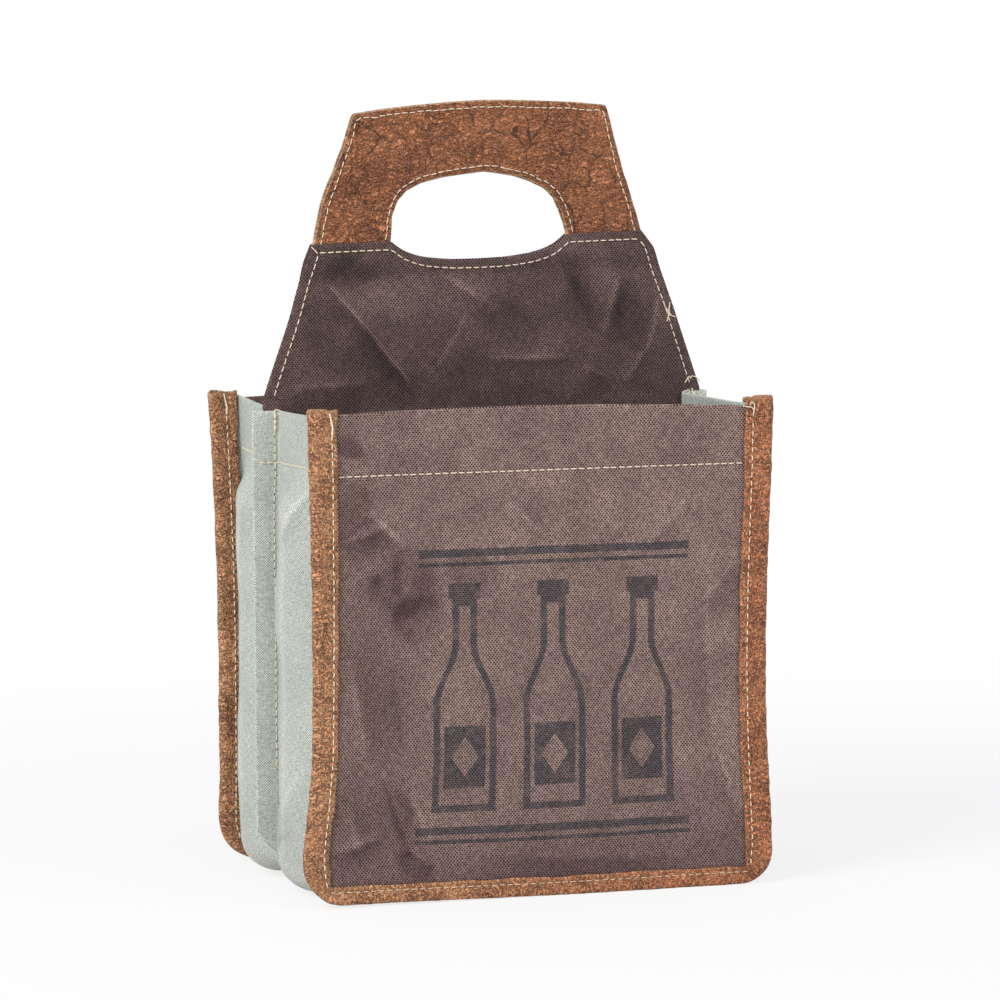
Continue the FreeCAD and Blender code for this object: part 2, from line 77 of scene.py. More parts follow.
panel_low, panel_high = millimetres("front_panel")
binding_low, binding_high = millimetres("front_binding")
_, gusset_high = millimetres("left_gusset")
divider_low, divider_high = millimetres("divider_back")
_, canvas_high = millimetres("handle_canvas_back")
leather_low, leather_high = millimetres("handle_leather_back")

CANVAS = 0.8
LEATHER = 1.6
BINDING_STAND = 1.0
HALF_WIDTH = binding_high[0]
RIM = panel_high[2]
PANEL_HALF_WIDTH = panel_high[0]
PANEL_FOOT = panel_low[2]
BINDING_PLANE = -(binding_low[1] + binding_high[1]) / 2
BINDING_TOP = RIM + BINDING_STAND
TURN_AXIS_OUT = -gusset_high[0]
CORNER = HALF_WIDTH - TURN_AXIS_OUT
CARRY_FOOT = divider_low[2]
CARRY_HALF_WIDTH = divider_high[0]
FOLD_HEIGHT = frame["joints"][0]["pos_m"][2] / MM
CANVAS_TOP = canvas_high[2]
LEATHER_FOOT = leather_low[2]
HANDLE_TOP = leather_high[2]
LOWEST = CANVAS / 2 + 0.1
print(f"rim {RIM:.1f}, fold {FOLD_HEIGHT:.1f}, canvas top {CANVAS_TOP:.1f}, handle top {HANDLE_TOP:.1f}")

# %% [markdown]
# ## Camera
# The camera was fitted to corners of the carrier whose places are known. It stands 2.6 m away with a
# long lens, a little to the left of the front and a little above the table.

# %% Camera
CAMERA_YAW = math.radians(18.53)
CAMERA_PITCH = math.radians(5.14)
CAMERA_ROLL = math.radians(-0.44)
CAMERA_DISTANCE = 2.634
CAMERA_LENS = 207.1
CAMERA_FILM = 36
LOOK_AT = Vector((0, 0, 0.178))
LOOK_SHIFT_RIGHT = 0.0057
LOOK_SHIFT_UP = -0.0058


def aim_camera():
    """The photographer's camera, built from its yaw, pitch and roll."""
    back = Vector((
        -math.sin(CAMERA_YAW) * math.cos(CAMERA_PITCH),
        -math.cos(CAMERA_YAW) * math.cos(CAMERA_PITCH),
        math.sin(CAMERA_PITCH),
    ))
    right = Vector((math.cos(CAMERA_YAW), -math.sin(CAMERA_YAW), 0))
    up = back.cross(right).normalized()
    rolled_right = right * math.cos(CAMERA_ROLL) + up * math.sin(CAMERA_ROLL)
    rolled_up = up * math.cos(CAMERA_ROLL) - right * math.sin(CAMERA_ROLL)
    centre = LOOK_AT + right * LOOK_SHIFT_RIGHT + up * LOOK_SHIFT_UP
    camera = bpy.data.objects.new("camera", bpy.data.cameras.new("camera"))
    bpy.context.scene.collection.objects.link(camera)
    turn = Matrix((rolled_right, rolled_up, back)).transposed().to_4x4()
    camera.matrix_world = Matrix.Translation(centre + back * CAMERA_DISTANCE) @ turn
    camera.data.lens = CAMERA_LENS
    camera.data.sensor_width = CAMERA_FILM
    bpy.context.scene.camera = camera
    return camera


print("camera at", [round(c, 3) for c in aim_camera().matrix_world.translation])

# %% [markdown]
# ## Shader sums as Python
# A material is a tree of nodes. Written node by node, a weave takes pages. Here a small class wraps a
# socket, so that a sum of two wires adds the Math node for it, and one method adds every other node.

# %% The wire class
class Wire:
    """A socket in a material's node tree. Sums of wires add Math nodes; make() adds any other node."""

    def __init__(self, tree, socket):
        self.tree = tree
        self.socket = socket

    @classmethod
    def make(cls, tree, kind, settings, inputs, output=0):
        """Adds a node: its settings first, then the values or links of its sockets."""
        node = tree.nodes.new(kind)
        for name, value in settings.items():
            setattr(node, name, value)
        for key, value in inputs.items():
            socket = node.inputs[key]
            if isinstance(value, Wire):
                tree.links.new(value.socket, socket)
            elif socket.type == "RGBA":
                socket.default_value = (*value, 1)
            else:
                socket.default_value = value
        return cls(tree, node.outputs[output])

    def math(self, operation, *others):
        inputs = dict(enumerate((self, *others)))
        return Wire.make(self.tree, "ShaderNodeMath", {"operation": operation}, inputs)

    def __add__(self, other):
        return self.math("ADD", other)

    __radd__ = __add__

    def __mul__(self, other):
        return self.math("MULTIPLY", other)

    __rmul__ = __mul__

    def __sub__(self, other):
        return self.math("SUBTRACT", other)

    def __rsub__(self, other):
        return Wire.make(self.tree, "ShaderNodeMath", {"operation": "SUBTRACT"}, {0: other, 1: self})

    def __truediv__(self, other):
        return self.math("DIVIDE", other)

    def __abs__(self):
        return self.math("ABSOLUTE")

    def step(self, low, high):
        """0 below low, 1 above high, and smooth between; low may be the higher one."""
        settings = {"interpolation_type": "SMOOTHSTEP"}
        inputs = {"Value": self, "From Min": low, "From Max": high}
        return Wire.make(self.tree, "ShaderNodeMapRange", settings, inputs)

    def vector(self, operation, inputs):
        return Wire.make(self.tree, "ShaderNodeVectorMath", {"operation": operation}, inputs)

    def stretched(self, across, along, third=1):
        """A vector or a colour with each part multiplied."""
        return self.vector("MULTIPLY", {0: self, 1: (across, along, third)})

    def moved(self, other, by):
        """A vector pushed about by a colour that varies round a half."""
        return self.vector("MULTIPLY_ADD", {0: other, 1: (by, by, by), 2: self})

    def scaled(self, factor):
        """A colour made brighter or darker."""
        return self.vector("SCALE", {0: self, "Scale": factor})

    def noise(self, size, detail=3, output="Fac"):
        """Cloudy noise on this vector, with lumps about that many millimetres apart."""
        inputs = {"Vector": self, "Scale": 1 / size, "Detail": detail}
        return Wire.make(self.tree, "ShaderNodeTexNoise", {}, inputs, output)

    def cells(self, size):
        """Distance to the borders of cells about that many millimetres apart."""
        settings = {"feature": "DISTANCE_TO_EDGE"}
        inputs = {"Vector": self, "Scale": 1 / size}
        return Wire.make(self.tree, "ShaderNodeTexVoronoi", settings, inputs, "Distance")

    def parts(self):
        """The X and Y of a vector."""
        split = Wire.make(self.tree, "ShaderNodeSeparateXYZ", {}, {0: self})
        outputs = split.socket.node.outputs
        return Wire(self.tree, outputs[0]), Wire(self.tree, outputs[1])

    def mix(self, first, second):
        """First colour where this is 0, second where it is 1."""
        settings = {"data_type": "RGBA"}
        return Wire.make(self.tree, "ShaderNodeMix", settings, {0: self, 6: first, 7: second}, 2)

    def bump(self, height, strength):
        """A normal from a height in millimetres."""
        inputs = {"Height": self, "Distance": height * MM, "Strength": strength}
        return Wire.make(self.tree, "ShaderNodeBump", {}, inputs)


print("wire class ready")

# %% [markdown]
# ## Starting a finish
# Every finish is one Principled shader. It is drawn on the flat cut of its sheet, whose places are stored on
# the mesh in millimetres, so a weave runs true over every fold.

# %% Finish helpers
def new_finish(name, **constants):
    """A material with one Principled shader, and the places of its surface in flat millimetres."""
    material = bpy.data.materials.new(name)
    material.use_nodes = True
    tree = material.node_tree
    shader = tree.nodes["Principled BSDF"]
    for socket, value in constants.items():
        shader.inputs[socket.replace("_", " ")].default_value = value
    return material, tree, shader, attribute(tree, "flat", "Vector")


def attribute(tree, name, output="Fac"):
    """A mark that the mesh carries on its points."""
    return Wire.make(tree, "ShaderNodeAttribute", {"attribute_name": name}, {}, output)


def connect(tree, shader, **wires):
    for socket, wire in wires.items():
        tree.links.new(wire.socket, shader.inputs[socket.replace("_", " ")])


print("finish helpers ready")

# %% [markdown]
# ## Canvas
# Both canvases are plain weave: each thread goes over one and under the next. With threads at whole
# numbers, cos(pi u) has the sign of the thread's number, so half of |cos u| + cos u cos v is the height
# of the warp and half of |cos v| - cos u cos v that of the weft. The higher one is what shows. The warp
# and the weft have a pitch each, as the brown cloth's threads lie closer across than along.

# %% The weave
THREAD_WANDER = 0.7
THREAD_EDGE = 0.6
SLUB_LENGTH = 4
SPECK_SIZE = 1.15
THREAD_SHARE, SLUB_SHARE, SPECK_SHARE = 0.62, 0.6, 0.35
DARKEST_SHADE = 0.1


def weave(flat, pitch):
    """Height of a plain weave from 0 to 1, and 1 where the warp is on top."""
    warp_pitch, weft_pitch = pitch
    wander = flat.noise(5, 3, "Color")
    across, along = flat.moved(wander, THREAD_WANDER * warp_pitch).parts()
    warp_wave = (across * (math.pi / warp_pitch)).math("COSINE")
    weft_wave = (along * (math.pi / weft_pitch)).math("COSINE")
    crossing = warp_wave * weft_wave
    warp = abs(warp_wave) + crossing
    weft = abs(weft_wave) - crossing
    height = warp.math("MAXIMUM", weft) * 0.5
    return height, (warp - weft).step(-THREAD_EDGE, THREAD_EDGE)


def slubs(flat, pitch):
    """Short paler and darker lengths of single threads, both ways."""
    across, along = 1 / pitch[0], 1 / pitch[1]
    warp = flat.stretched(across, along / SLUB_LENGTH).noise(1, 1)
    weft = flat.stretched(across / SLUB_LENGTH, along).noise(1, 1)
    return warp + weft - 1


def grain(flat, pitch, depth):
    """The weave's height, and a factor round 1 for the light and dark of its threads."""
    height, warp_on_top = weave(flat, pitch)
    specks = flat.noise(SPECK_SIZE * pitch[0], 1) - 0.5
    threads = (warp_on_top - 0.5) * THREAD_SHARE + slubs(flat, pitch) * SLUB_SHARE
    shade = 1 + depth * (threads + specks * SPECK_SHARE)
    return height, shade.math("MAXIMUM", DARKEST_SHADE)


print("weave helpers ready")

# %% [markdown]
# ## Brown waxed canvas
# Waxed cotton goes pale where it has been folded and dark where the wax lies thick. The creases are
# modelled, and each point of the mesh carries a mark of how near a crease it is, which pales the colour.
# The same mark carries painted light and painted shade beside the creases and in some broad stains.

# %% Brown canvas
BROWN_PITCH = (0.74, 0.89)
BROWN_GRAIN = 2.35
INK = (0.03, 0.031, 0.038)


def brown_canvas(name, dark, pale, wear_light_and_shade, stain_and_shade, ink_print=None):
    material, tree, shader, flat = new_finish(name, Specular_IOR_Level=0.25, Sheen_Weight=0.05)
    height, shade = grain(flat, BROWN_PITCH, BROWN_GRAIN)
    clouds = flat.noise(40, 4)
    smears = flat.noise(12, 4)
    colour = (clouds.step(0.3, 0.7) * 0.5 + smears.step(0.3, 0.7) * 0.5).mix(dark, pale)
    broken = attribute(tree, "crease") * (0.6 + 0.8 * smears)
    # The mark pales the colour for wear and painted light, and darkens it to the stain colour for stains and
    # painted shade.
    colour = (broken * 0.8).mix(colour, wear_light_and_shade)
    colour = (broken * -0.85).mix(colour, stain_and_shade)
    if ink_print:
        colour = ink_print(flat, height).mix(colour, INK)
    colour = colour.scaled(shade)
    relief = (height + 0.35 * flat.noise(0.5, 1)).bump(0.22, 0.6)
    connect(tree, shader, Base_Color=colour, Roughness=0.72 + 0.2 * smears, Normal=relief)
    return material


print("brown canvas: threads", BROWN_PITCH, "mm apart")

# %% [markdown]
# ## Print
# The front wall carries a worn print in slate ink. Here it is a plain one: three bottles in outline, each
# with a label, between rules. A bottle is the places whose distance from its middle line is less than its
# radius at that height, and its outline is that shape less a smaller one. So the whole print is a few
# sums and stays sharp at any size. Ink sits on top of the threads and has rubbed off in patches.

# %% Ink
PRINT_MIDDLE = 6.0
BOTTLE_PITCH = 43.0
PRINT_HALF_WIDTH = 1.5 * BOTTLE_PITCH
BOTTLE_FOOT = 40.0
BOTTLE_SHOULDER = 88.0
BOTTLE_NECK = 116.0
BOTTLE_LIP = 136.0
BOTTLE_TOP = 143.0
BODY_RADIUS = 15.0
NECK_RADIUS = 6.0
LIP_RADIUS = 7.6
STROKE = 3.2
LABEL_FOOT = 51.0
LABEL_TOP = 79.0
LABEL_MIDDLE = (LABEL_FOOT + LABEL_TOP) / 2
LABEL_HALF_WIDTH = BODY_RADIUS - 1.6 * STROKE
DIAMOND_HEIGHT = 9.0
DIAMOND_WIDTH = 6.5
RULES = [(31.5, 1.6), (26.5, 0.7), (151.5, 0.7), (156.5, 1.6)]
RULE_HALF_LENGTH = 65.0
INK_EDGE = 0.35


def bottle_print(flat, height):
    """How much ink lies at each place of the front wall."""
    across, up = flat.moved(flat.noise(3, 2, "Color"), 0.6).parts()
    across = across - PRINT_MIDDLE
    in_turn = (across + PRINT_HALF_WIDTH).math("FLOORED_MODULO", BOTTLE_PITCH)
    from_axis = abs(in_turn - BOTTLE_PITCH / 2)
    radius = BODY_RADIUS - up.step(BOTTLE_SHOULDER, BOTTLE_NECK) * (BODY_RADIUS - NECK_RADIUS)
    radius = radius + up.step(BOTTLE_LIP, BOTTLE_LIP + INK_EDGE) * (LIP_RADIUS - NECK_RADIUS)

    def within(low, high, half_width):
        inside = (half_width - from_axis).step(-INK_EDGE, INK_EDGE)
        return inside * up.step(low - INK_EDGE, low + INK_EDGE) * up.step(high + INK_EDGE, high - INK_EDGE)

    outline = within(BOTTLE_FOOT, BOTTLE_TOP, radius)
    outline = outline - within(BOTTLE_FOOT + STROKE, BOTTLE_LIP - STROKE, radius - STROKE)
    label = within(LABEL_FOOT, LABEL_TOP, LABEL_HALF_WIDTH)
    diamond = from_axis / DIAMOND_WIDTH + abs(up - LABEL_MIDDLE) / DIAMOND_HEIGHT
    marks = outline.math("MAXIMUM", label * diamond.step(0.95, 1.05))
    marks = marks * abs(across).step(PRINT_HALF_WIDTH, PRINT_HALF_WIDTH - INK_EDGE)
    in_rule = abs(across).step(RULE_HALF_LENGTH, RULE_HALF_LENGTH - INK_EDGE)
    for rule_height, half_width in RULES:
        line = abs(up - rule_height).step(half_width + INK_EDGE, half_width)
        marks = marks.math("MAXIMUM", line * in_rule)
    rubbed = flat.noise(15, 4).step(0.33, 0.55) * 0.6 + flat.noise(2.2, 3).step(0.28, 0.55) * 0.4
    return marks * (0.46 + 0.42 * rubbed) * (0.76 + 0.24 * height.step(0.2, 0.6))


# Each holds the dark and pale of the cloth, the colour of wear and painted light, and the colour of stains
# and painted shade.
PANEL_TONES = (0.15, 0.098, 0.087), (0.245, 0.165, 0.147), (0.385, 0.285, 0.255), (0.062, 0.032, 0.034)
HANDLE_TONES = (0.067, 0.041, 0.039), (0.124, 0.077, 0.072), (0.255, 0.173, 0.155), (0.034, 0.019, 0.021)
panel_canvas = brown_canvas("brown_canvas_panel", *PANEL_TONES, bottle_print)
plain_canvas = brown_canvas("brown_canvas_plain", *PANEL_TONES)
handle_canvas = brown_canvas("brown_canvas_handle", *HANDLE_TONES)
print("brown canvas: panel, plain and handle")

# %% [markdown]
# ## Sage canvas
# The side walls are lighter: a white weft under a sage warp, so the colour itself is in the weave.
# Their crease mark pales the colour for rubbing and painted highlights, and darkens it for painted shade.

# %% Sage canvas
SAGE_PITCH = (0.58, 0.58)
SAGE_GRAIN = 1.4
SAGE_PALE, SAGE_DEEP = (0.47, 0.495, 0.45), (0.4, 0.435, 0.405)
SAGE_WORN_AND_LIT, SAGE_SHADE = (0.62, 0.62, 0.575), (0.2, 0.245, 0.23)


def sage_canvas():
    material, tree, shader, flat = new_finish("sage_canvas", Specular_IOR_Level=0.2, Sheen_Weight=0.05)
    height, shade = grain(flat, SAGE_PITCH, SAGE_GRAIN)
    clouds = flat.noise(38, 4)
    crease = attribute(tree, "crease")
    colour = clouds.step(0.3, 0.7).mix(SAGE_PALE, SAGE_DEEP)
    # Pale for rubbing and painted light, dark towards the shade colour for painted shade.
    colour = crease.mix(colour, SAGE_WORN_AND_LIT)
    colour = (crease * -1).mix(colour, SAGE_SHADE).scaled(shade)
    relief = (height + 0.3 * flat.noise(0.3, 2)).bump(0.2, 0.7)
    connect(tree, shader, Base_Color=colour, Roughness=0.8 + 0.15 * clouds, Normal=relief)
    return material


pale_canvas = sage_canvas()
print("sage canvas ready")

# %% [markdown]
# ## Leathers
# The bindings are split leather: a felted face, mottled and crossed by small folds, and redder towards one
# end of the strip. The handle leather is crumpled all over. Crumples come from noise folded at its middle
# value: |noise - 1/2| has a sharp valley wherever the noise crosses a half, and those valleys join up into
# a net of wrinkles. Both are paler at their cut edges.

# %% Leather finishes
RAW_EDGE = (0.62, 0.4, 0.225)
FRAYED_EDGE = (0.45, 0.24, 0.12)
SPLIT_DARK, SPLIT_PALE, SPLIT_CRACK = (0.09, 0.017, 0.004), (0.88, 0.445, 0.217), (0.06, 0.017, 0.007)
REDDER = (0.955, 0.77, 0.73)
RED_FROM, RED_FULL = 220, 420
GRIP_DARK, GRIP_PALE, GRIP_CRACK = (0.1, 0.02, 0.005), (0.71, 0.276, 0.118), (0.04, 0.011, 0.005)


def folded_noise(flat, size, detail):
    """0 in the wrinkles of a crumpled surface, 1 on its plumpest places."""
    return abs(flat.noise(size, detail) - 0.5) * 4


def binding_leather():
    material, tree, shader, flat = new_finish("binding_leather", Specular_IOR_Level=0.35, Sheen_Weight=0.05)
    pushed = flat.moved(flat.noise(3, 3, "Color"), 1.8)
    wrinkles = folded_noise(pushed.stretched(0.75, 1), 1.6, 2)
    felt = flat.noise(0.75, 2)
    fibres = pushed.stretched(1.7, 0.6).noise(1, 2)
    clouds = flat.noise(18, 4)
    tone = clouds.step(0.3, 0.7) * 0.2 + felt.step(0.41, 0.59) * 0.42 + fibres.step(0.4, 0.6) * 0.42
    colour = tone.mix(SPLIT_DARK, SPLIT_PALE)
    cracks = wrinkles.step(0.35, 0.0) * flat.noise(7, 3).step(0.32, 0.58)
    colour = (cracks * 0.8).mix(colour, SPLIT_CRACK)
    far_end = flat.parts()[1].step(RED_FROM, RED_FULL)
    colour = far_end.mix(colour, colour.stretched(*REDDER))
    colour = (attribute(tree, "edge").step(0.5, 0.1) * 0.3).mix(colour, FRAYED_EDGE)
    colour = attribute(tree, "crease").mix(colour, FRAYED_EDGE)
    height = felt * 0.8 + fibres * 0.5 + wrinkles.step(0.0, 0.5)
    connect(tree, shader, Base_Color=colour, Roughness=0.5 + 0.3 * felt, Normal=height.bump(0.8, 0.95))
    return material


def handle_leather():
    material, tree, shader, flat = new_finish("handle_leather", Specular_IOR_Level=0.5)
    pushed = flat.moved(flat.noise(16, 3, "Color"), 14.0)
    long_folds = flat.moved(flat.noise(10, 3, "Color"), 6.0).stretched(1, 0.7).cells(15)
    wrinkles = folded_noise(pushed.stretched(0.6, 1.2), 3.6, 3)
    fine_wrinkles = folded_noise(pushed.stretched(0.5, 1.1), 1.5, 3)
    felt = flat.noise(0.75, 2)
    clouds = flat.noise(22, 4)
    tone = clouds.step(0.3, 0.7) * 0.25 + felt.step(0.4, 0.6) * 0.45 + fine_wrinkles.step(0.02, 0.5) * 0.4
    colour = tone.mix(GRIP_DARK, GRIP_PALE)
    cracks = long_folds.step(0.03, 0.0) * flat.noise(12, 3).step(0.4, 0.55)
    veins = wrinkles.step(0.12, 0.0) * flat.noise(8, 3).step(0.34, 0.54)
    dark = (cracks * 0.85).math("MAXIMUM", veins * 0.65)
    colour = dark.mix(colour, GRIP_CRACK)
    colour = (attribute(tree, "edge").step(0.35, 0.05) * 0.75).mix(colour, RAW_EDGE)
    height = long_folds.step(0.0, 0.1) + wrinkles.step(0.0, 0.45)
    height = height + fine_wrinkles.step(0.0, 0.5) * 0.6 + felt * 0.4
    rough = 0.36 + 0.25 * felt + dark * 0.25
    connect(tree, shader, Base_Color=colour, Roughness=rough, Normal=height.bump(1.5, 1.0))
    return material


split_leather = binding_leather()
crumpled_leather = handle_leather()
print("leathers ready")

# %% [markdown]
# ## Thread
# Cream thread, slightly yellow where it lies thick. The ply shows as a fine slanted ripple. Where the
# needle left an open hole, a short tube is marked to turn the colour dark: a painted shadow of the hole.

# %% Thread
THREAD_DEEP, THREAD_PALE = (0.64, 0.51, 0.34), (0.92, 0.85, 0.7)
NEEDLE_HOLE_SHADOW = (0.02, 0.018, 0.015)


def sewing_thread():
    material, tree, shader, flat = new_finish("sewing_thread", Specular_IOR_Level=0.3, Sheen_Weight=0.2)
    ply = flat.stretched(2.2, 9).noise(1, 2)
    lots = flat.noise(9, 2)
    colour = (lots * 0.6 + ply * 0.4).mix(THREAD_DEEP, THREAD_PALE)
    # Marked tubes in the needle holes turn dark: a painted shadow of each hole.
    colour = attribute(tree, "crease").mix(colour, NEEDLE_HOLE_SHADOW)
    connect(tree, shader, Base_Color=colour, Roughness=0.7 + 0.2 * ply, Normal=ply.bump(0.08, 0.5))
    return material


thread = sewing_thread()
print("thread ready")

# %% [markdown]
# ## Lines and lumps
# A few plain helpers that every shape uses: smooth steps, uneven heights, and places along a line by the
# distance travelled on it, as one measures with a tape.

# %% Lines and lumps
LUMP_TABLE = 64


def smooth(share):
    share = np.clip(share, 0, 1)
    return share * share * (3 - 2 * share)


def between(value, low, high):
    """0 at low, 1 at high, smooth between."""
    return smooth((value - low) / (high - low))


def bell(value, reach):
    """1 where the value is 0, fading out beyond the reach."""
    return np.exp(-((value / reach) ** 2))


def lumps(x, y, distance, seed):
    """Smooth uneven heights from -1 to 1, about that distance apart."""
    table = np.random.default_rng(seed).uniform(-1, 1, (LUMP_TABLE, LUMP_TABLE))
    column, row = (np.floor(place / distance).astype(int) for place in (x, y))
    right, up = smooth(x / distance - column), smooth(y / distance - row)

    def level(row):
        here, beside = (table[row % LUMP_TABLE, place % LUMP_TABLE] for place in (column, column + 1))
        return here * (1 - right) + beside * right

    return level(row) * (1 - up) + level(row + 1) * up


def uneven(x, y, layers, seed):
    """Lumps of several sizes together, each (height, distance apart, squeeze along y)."""
    return sum(height * lumps(x, y * squeeze, distance, seed + number)
               for number, (height, distance, squeeze) in enumerate(layers))


def unit(vectors):
    return vectors / np.maximum(np.linalg.norm(vectors, axis=-1, keepdims=True), 1e-9)


def evenly(low, high, spacing):
    return np.linspace(low, high, max(2, int(round(abs(high - low) / spacing)) + 1))


def travelled(points):
    """Distance along a line, or along each row of a grid, from its first point."""
    steps = np.linalg.norm(np.diff(points, axis=-2), axis=-1)
    return np.concatenate([np.zeros_like(steps[..., :1]), np.cumsum(steps, axis=-1)], axis=-1)


def parts_at(places, travel, line):
    """Each column of a line at places along it."""
    return [np.interp(places, travel, column) for column in np.transpose(line)]


def points_at(places, travel, line):
    return np.stack(parts_at(places, travel, line), axis=-1)


def eased(line, rounds):
    """A line with its corners eased and its ends kept."""
    for _ in range(rounds):
        middle = (line[:-2] + 2 * line[1:-1] + line[2:]) / 4
        line = np.concatenate([line[:1], middle, line[-1:]])
    return line


def mirrored(half, signs):
    """A line, or each row of a grid, and its mirror image after it; the last point is shared."""
    return np.concatenate([half, half[..., -2::-1, :] * signs], axis=-2)


print("line and lump helpers ready")

# %% [markdown]
# ## Meshes for sheets
# Every soft piece here is a sheet: a grid of points on its middle surface, given a real thickness and a
# rounded edge. A Solidify modifier could do that too, but its edge is square and its marks get lost.
# Each point keeps its place on the flat cut, which is what the weave and the grain are drawn on.

# %% Sheet builder
RIM_THICKNESS = 0.72
RIM_ROUND = 0.25


def new_piece(name, vertices, faces, material, marks):
    """A mesh object from millimetres, smooth shaded, with marks stored on its points."""
    mesh = bpy.data.meshes.new(name)
    mesh.from_pydata((vertices * MM).tolist(), [], faces)
    for mark, values in marks.items():
        kind, field = ("FLOAT_VECTOR", "vector") if values.ndim == 2 else ("FLOAT", "value")
        stored = mesh.attributes.new(mark, kind, "POINT")
        stored.data.foreach_set(field, values.astype(np.float32).ravel())
    mesh.polygons.foreach_set("use_smooth", np.ones(len(mesh.polygons), bool))
    mesh.materials.append(material)
    mesh.update()
    piece = bpy.data.objects.new(name, mesh)
    bpy.context.scene.collection.objects.link(piece)
    return piece


def grid_normals(points):
    return unit(np.cross(np.gradient(points, axis=0), np.gradient(points, axis=1)))


def from_edge(points):
    """Distance of each point of a grid from its nearest edge, along the rows and the columns."""
    turned = points.swapaxes(0, 1)
    return np.minimum.reduce([
        travelled(points),
        travelled(points[:, ::-1])[:, ::-1],
        travelled(turned).T,
        travelled(turned[:, ::-1])[:, ::-1].T,
    ])


def sheet_faces(index, rim):
    """Both faces of a sheet, and the two strips that close its edge."""
    count = index.size
    corners = index[:-1, :-1], index[1:, :-1], index[1:, 1:], index[:-1, 1:]
    quads = np.stack(corners, axis=-1).reshape(-1, 4)
    edge = 2 * count + np.arange(len(rim))
    next_rim, next_edge = np.roll(rim, -1), np.roll(edge, -1)
    outer_strip = np.stack([rim, next_rim, next_edge, edge], axis=-1)
    inner_strip = np.stack([edge, next_edge, next_rim + count, rim + count], axis=-1)
    return np.concatenate([quads, quads[:, ::-1] + count, outer_strip, inner_strip])


def sheet_piece(name, points, flat, thickness, material, crease=None, lining=0, flip=1):
    """A closed sheet round a grid of points. A lining thickens its inner face; flip -1 turns it over."""
    crease = np.zeros(points.shape[:2]) if crease is None else crease
    points, flat, crease = (grid[:, ::flip] for grid in (points, flat, crease))
    rows, columns = points.shape[:2]
    index = np.arange(rows * columns).reshape(rows, columns)
    rim = np.concatenate([index[0, :-1], index[:-1, -1], index[-1, :0:-1], index[:0:-1, 0]])
    middle, normals = points.reshape(-1, 3), grid_normals(points).reshape(-1, 3)
    half = np.full(index.size, thickness / 2)
    half[rim] *= RIM_THICKNESS
    inner_half = half + np.broadcast_to(lining, index.shape).ravel()
    next_in = np.pad(index[1:-1, 1:-1], 1, mode="edge").ravel()
    outward = unit(middle[rim] - middle[next_in[rim]])
    vertices = np.concatenate([
        middle + normals * half[:, None],
        middle - normals * inner_half[:, None],
        middle[rim] + outward * thickness * RIM_ROUND,
    ])
    flat = np.concatenate([flat.reshape(-1, 2), np.zeros((index.size, 1))], axis=1)
    crease, edge = crease.ravel(), from_edge(points).ravel()
    marks = {mark: np.concatenate([values, values, values[rim]])
             for mark, values in (("flat", flat), ("crease", crease), ("edge", edge))}
    return new_piece(name, vertices, sheet_faces(index, rim).tolist(), material, marks)


print("sheet builder ready")

# %% [markdown]
# ## The solids behind each sheet
# Each sheet hides the solids it stands for. The size of its flat cut is worked out but goes no further.


class Pair:
    """A piece that the carrier has two of. side is -1 for the front one or the left one."""

    def __init__(self, side, seed=0):
        self.side = side
        self.seed = seed


def dress(nodes, flat):
    """Hides the solids that a sheet stands for; flat, the width and length of its cut, is turned into metres
    and goes no further.
    """
    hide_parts(*nodes)
    width, length = (round(side * MM, 4) for side in flat)


print("ready to dress sheets")

# %% [markdown]
# ## Settling
# A sewn bag doesn't stand as square as its pattern: the mouth opens, the sides draw in at half height
# and the carrying panel hangs a little to one side. One function moves every point of the bag the same
# way, so pieces and stitches stay together, and another does it for what the handle carries.

# %% Settle functions
LEAN_HEIGHTS = [0, 220]
LEAN_SHARES = [1.008, 1.055]
WAIST_HEIGHTS = [0, 23, 45, 67, 102, 140, 190, 222]
LEFT_WAIST = [1.0, 1.012, 0.988, 0.97, 0.967, 0.967, 0.977, 0.984]
LEFT_BACK_WAIST = [0.985, 0.985, 0.98, 0.978, 0.975, 0.977, 0.992, 1.006]
RIGHT_WAIST = [1.0, 0.998, 0.987, 0.977, 0.97, 0.976, 0.994, 1.001]
BACK_CORNER_LIFT = 2.2
BACK_LIFT_ACROSS = 40, 105
FRONT_LEFT_LIFT = 1.1
FRONT_LIFT_ACROSS = -30, 90
LIFT_HEIGHTS = 90, 0
RIGHT_CORNER_PUSH = 2.4
PUSH_DROP = 0.7
RIGHT_DRAW = 4.6
DRAW_ACROSS = 60, 95
DRAW_HEIGHTS = 120, 215
HANG_HEIGHTS = [150, 222, 255, 290, 320, 355]
HANG_SHIFTS = [0, -1.2, -2.0, -3.5, -3.7, -2.2]
HANG_TILT = 0.02
TILT_HEIGHTS = FOLD_HEIGHT, 285
CHEEK_DRAW = 1.4
CHEEK_ACROSS = 45, 75
CHEEK_HEIGHT = 310
CHEEK_REACH = 13


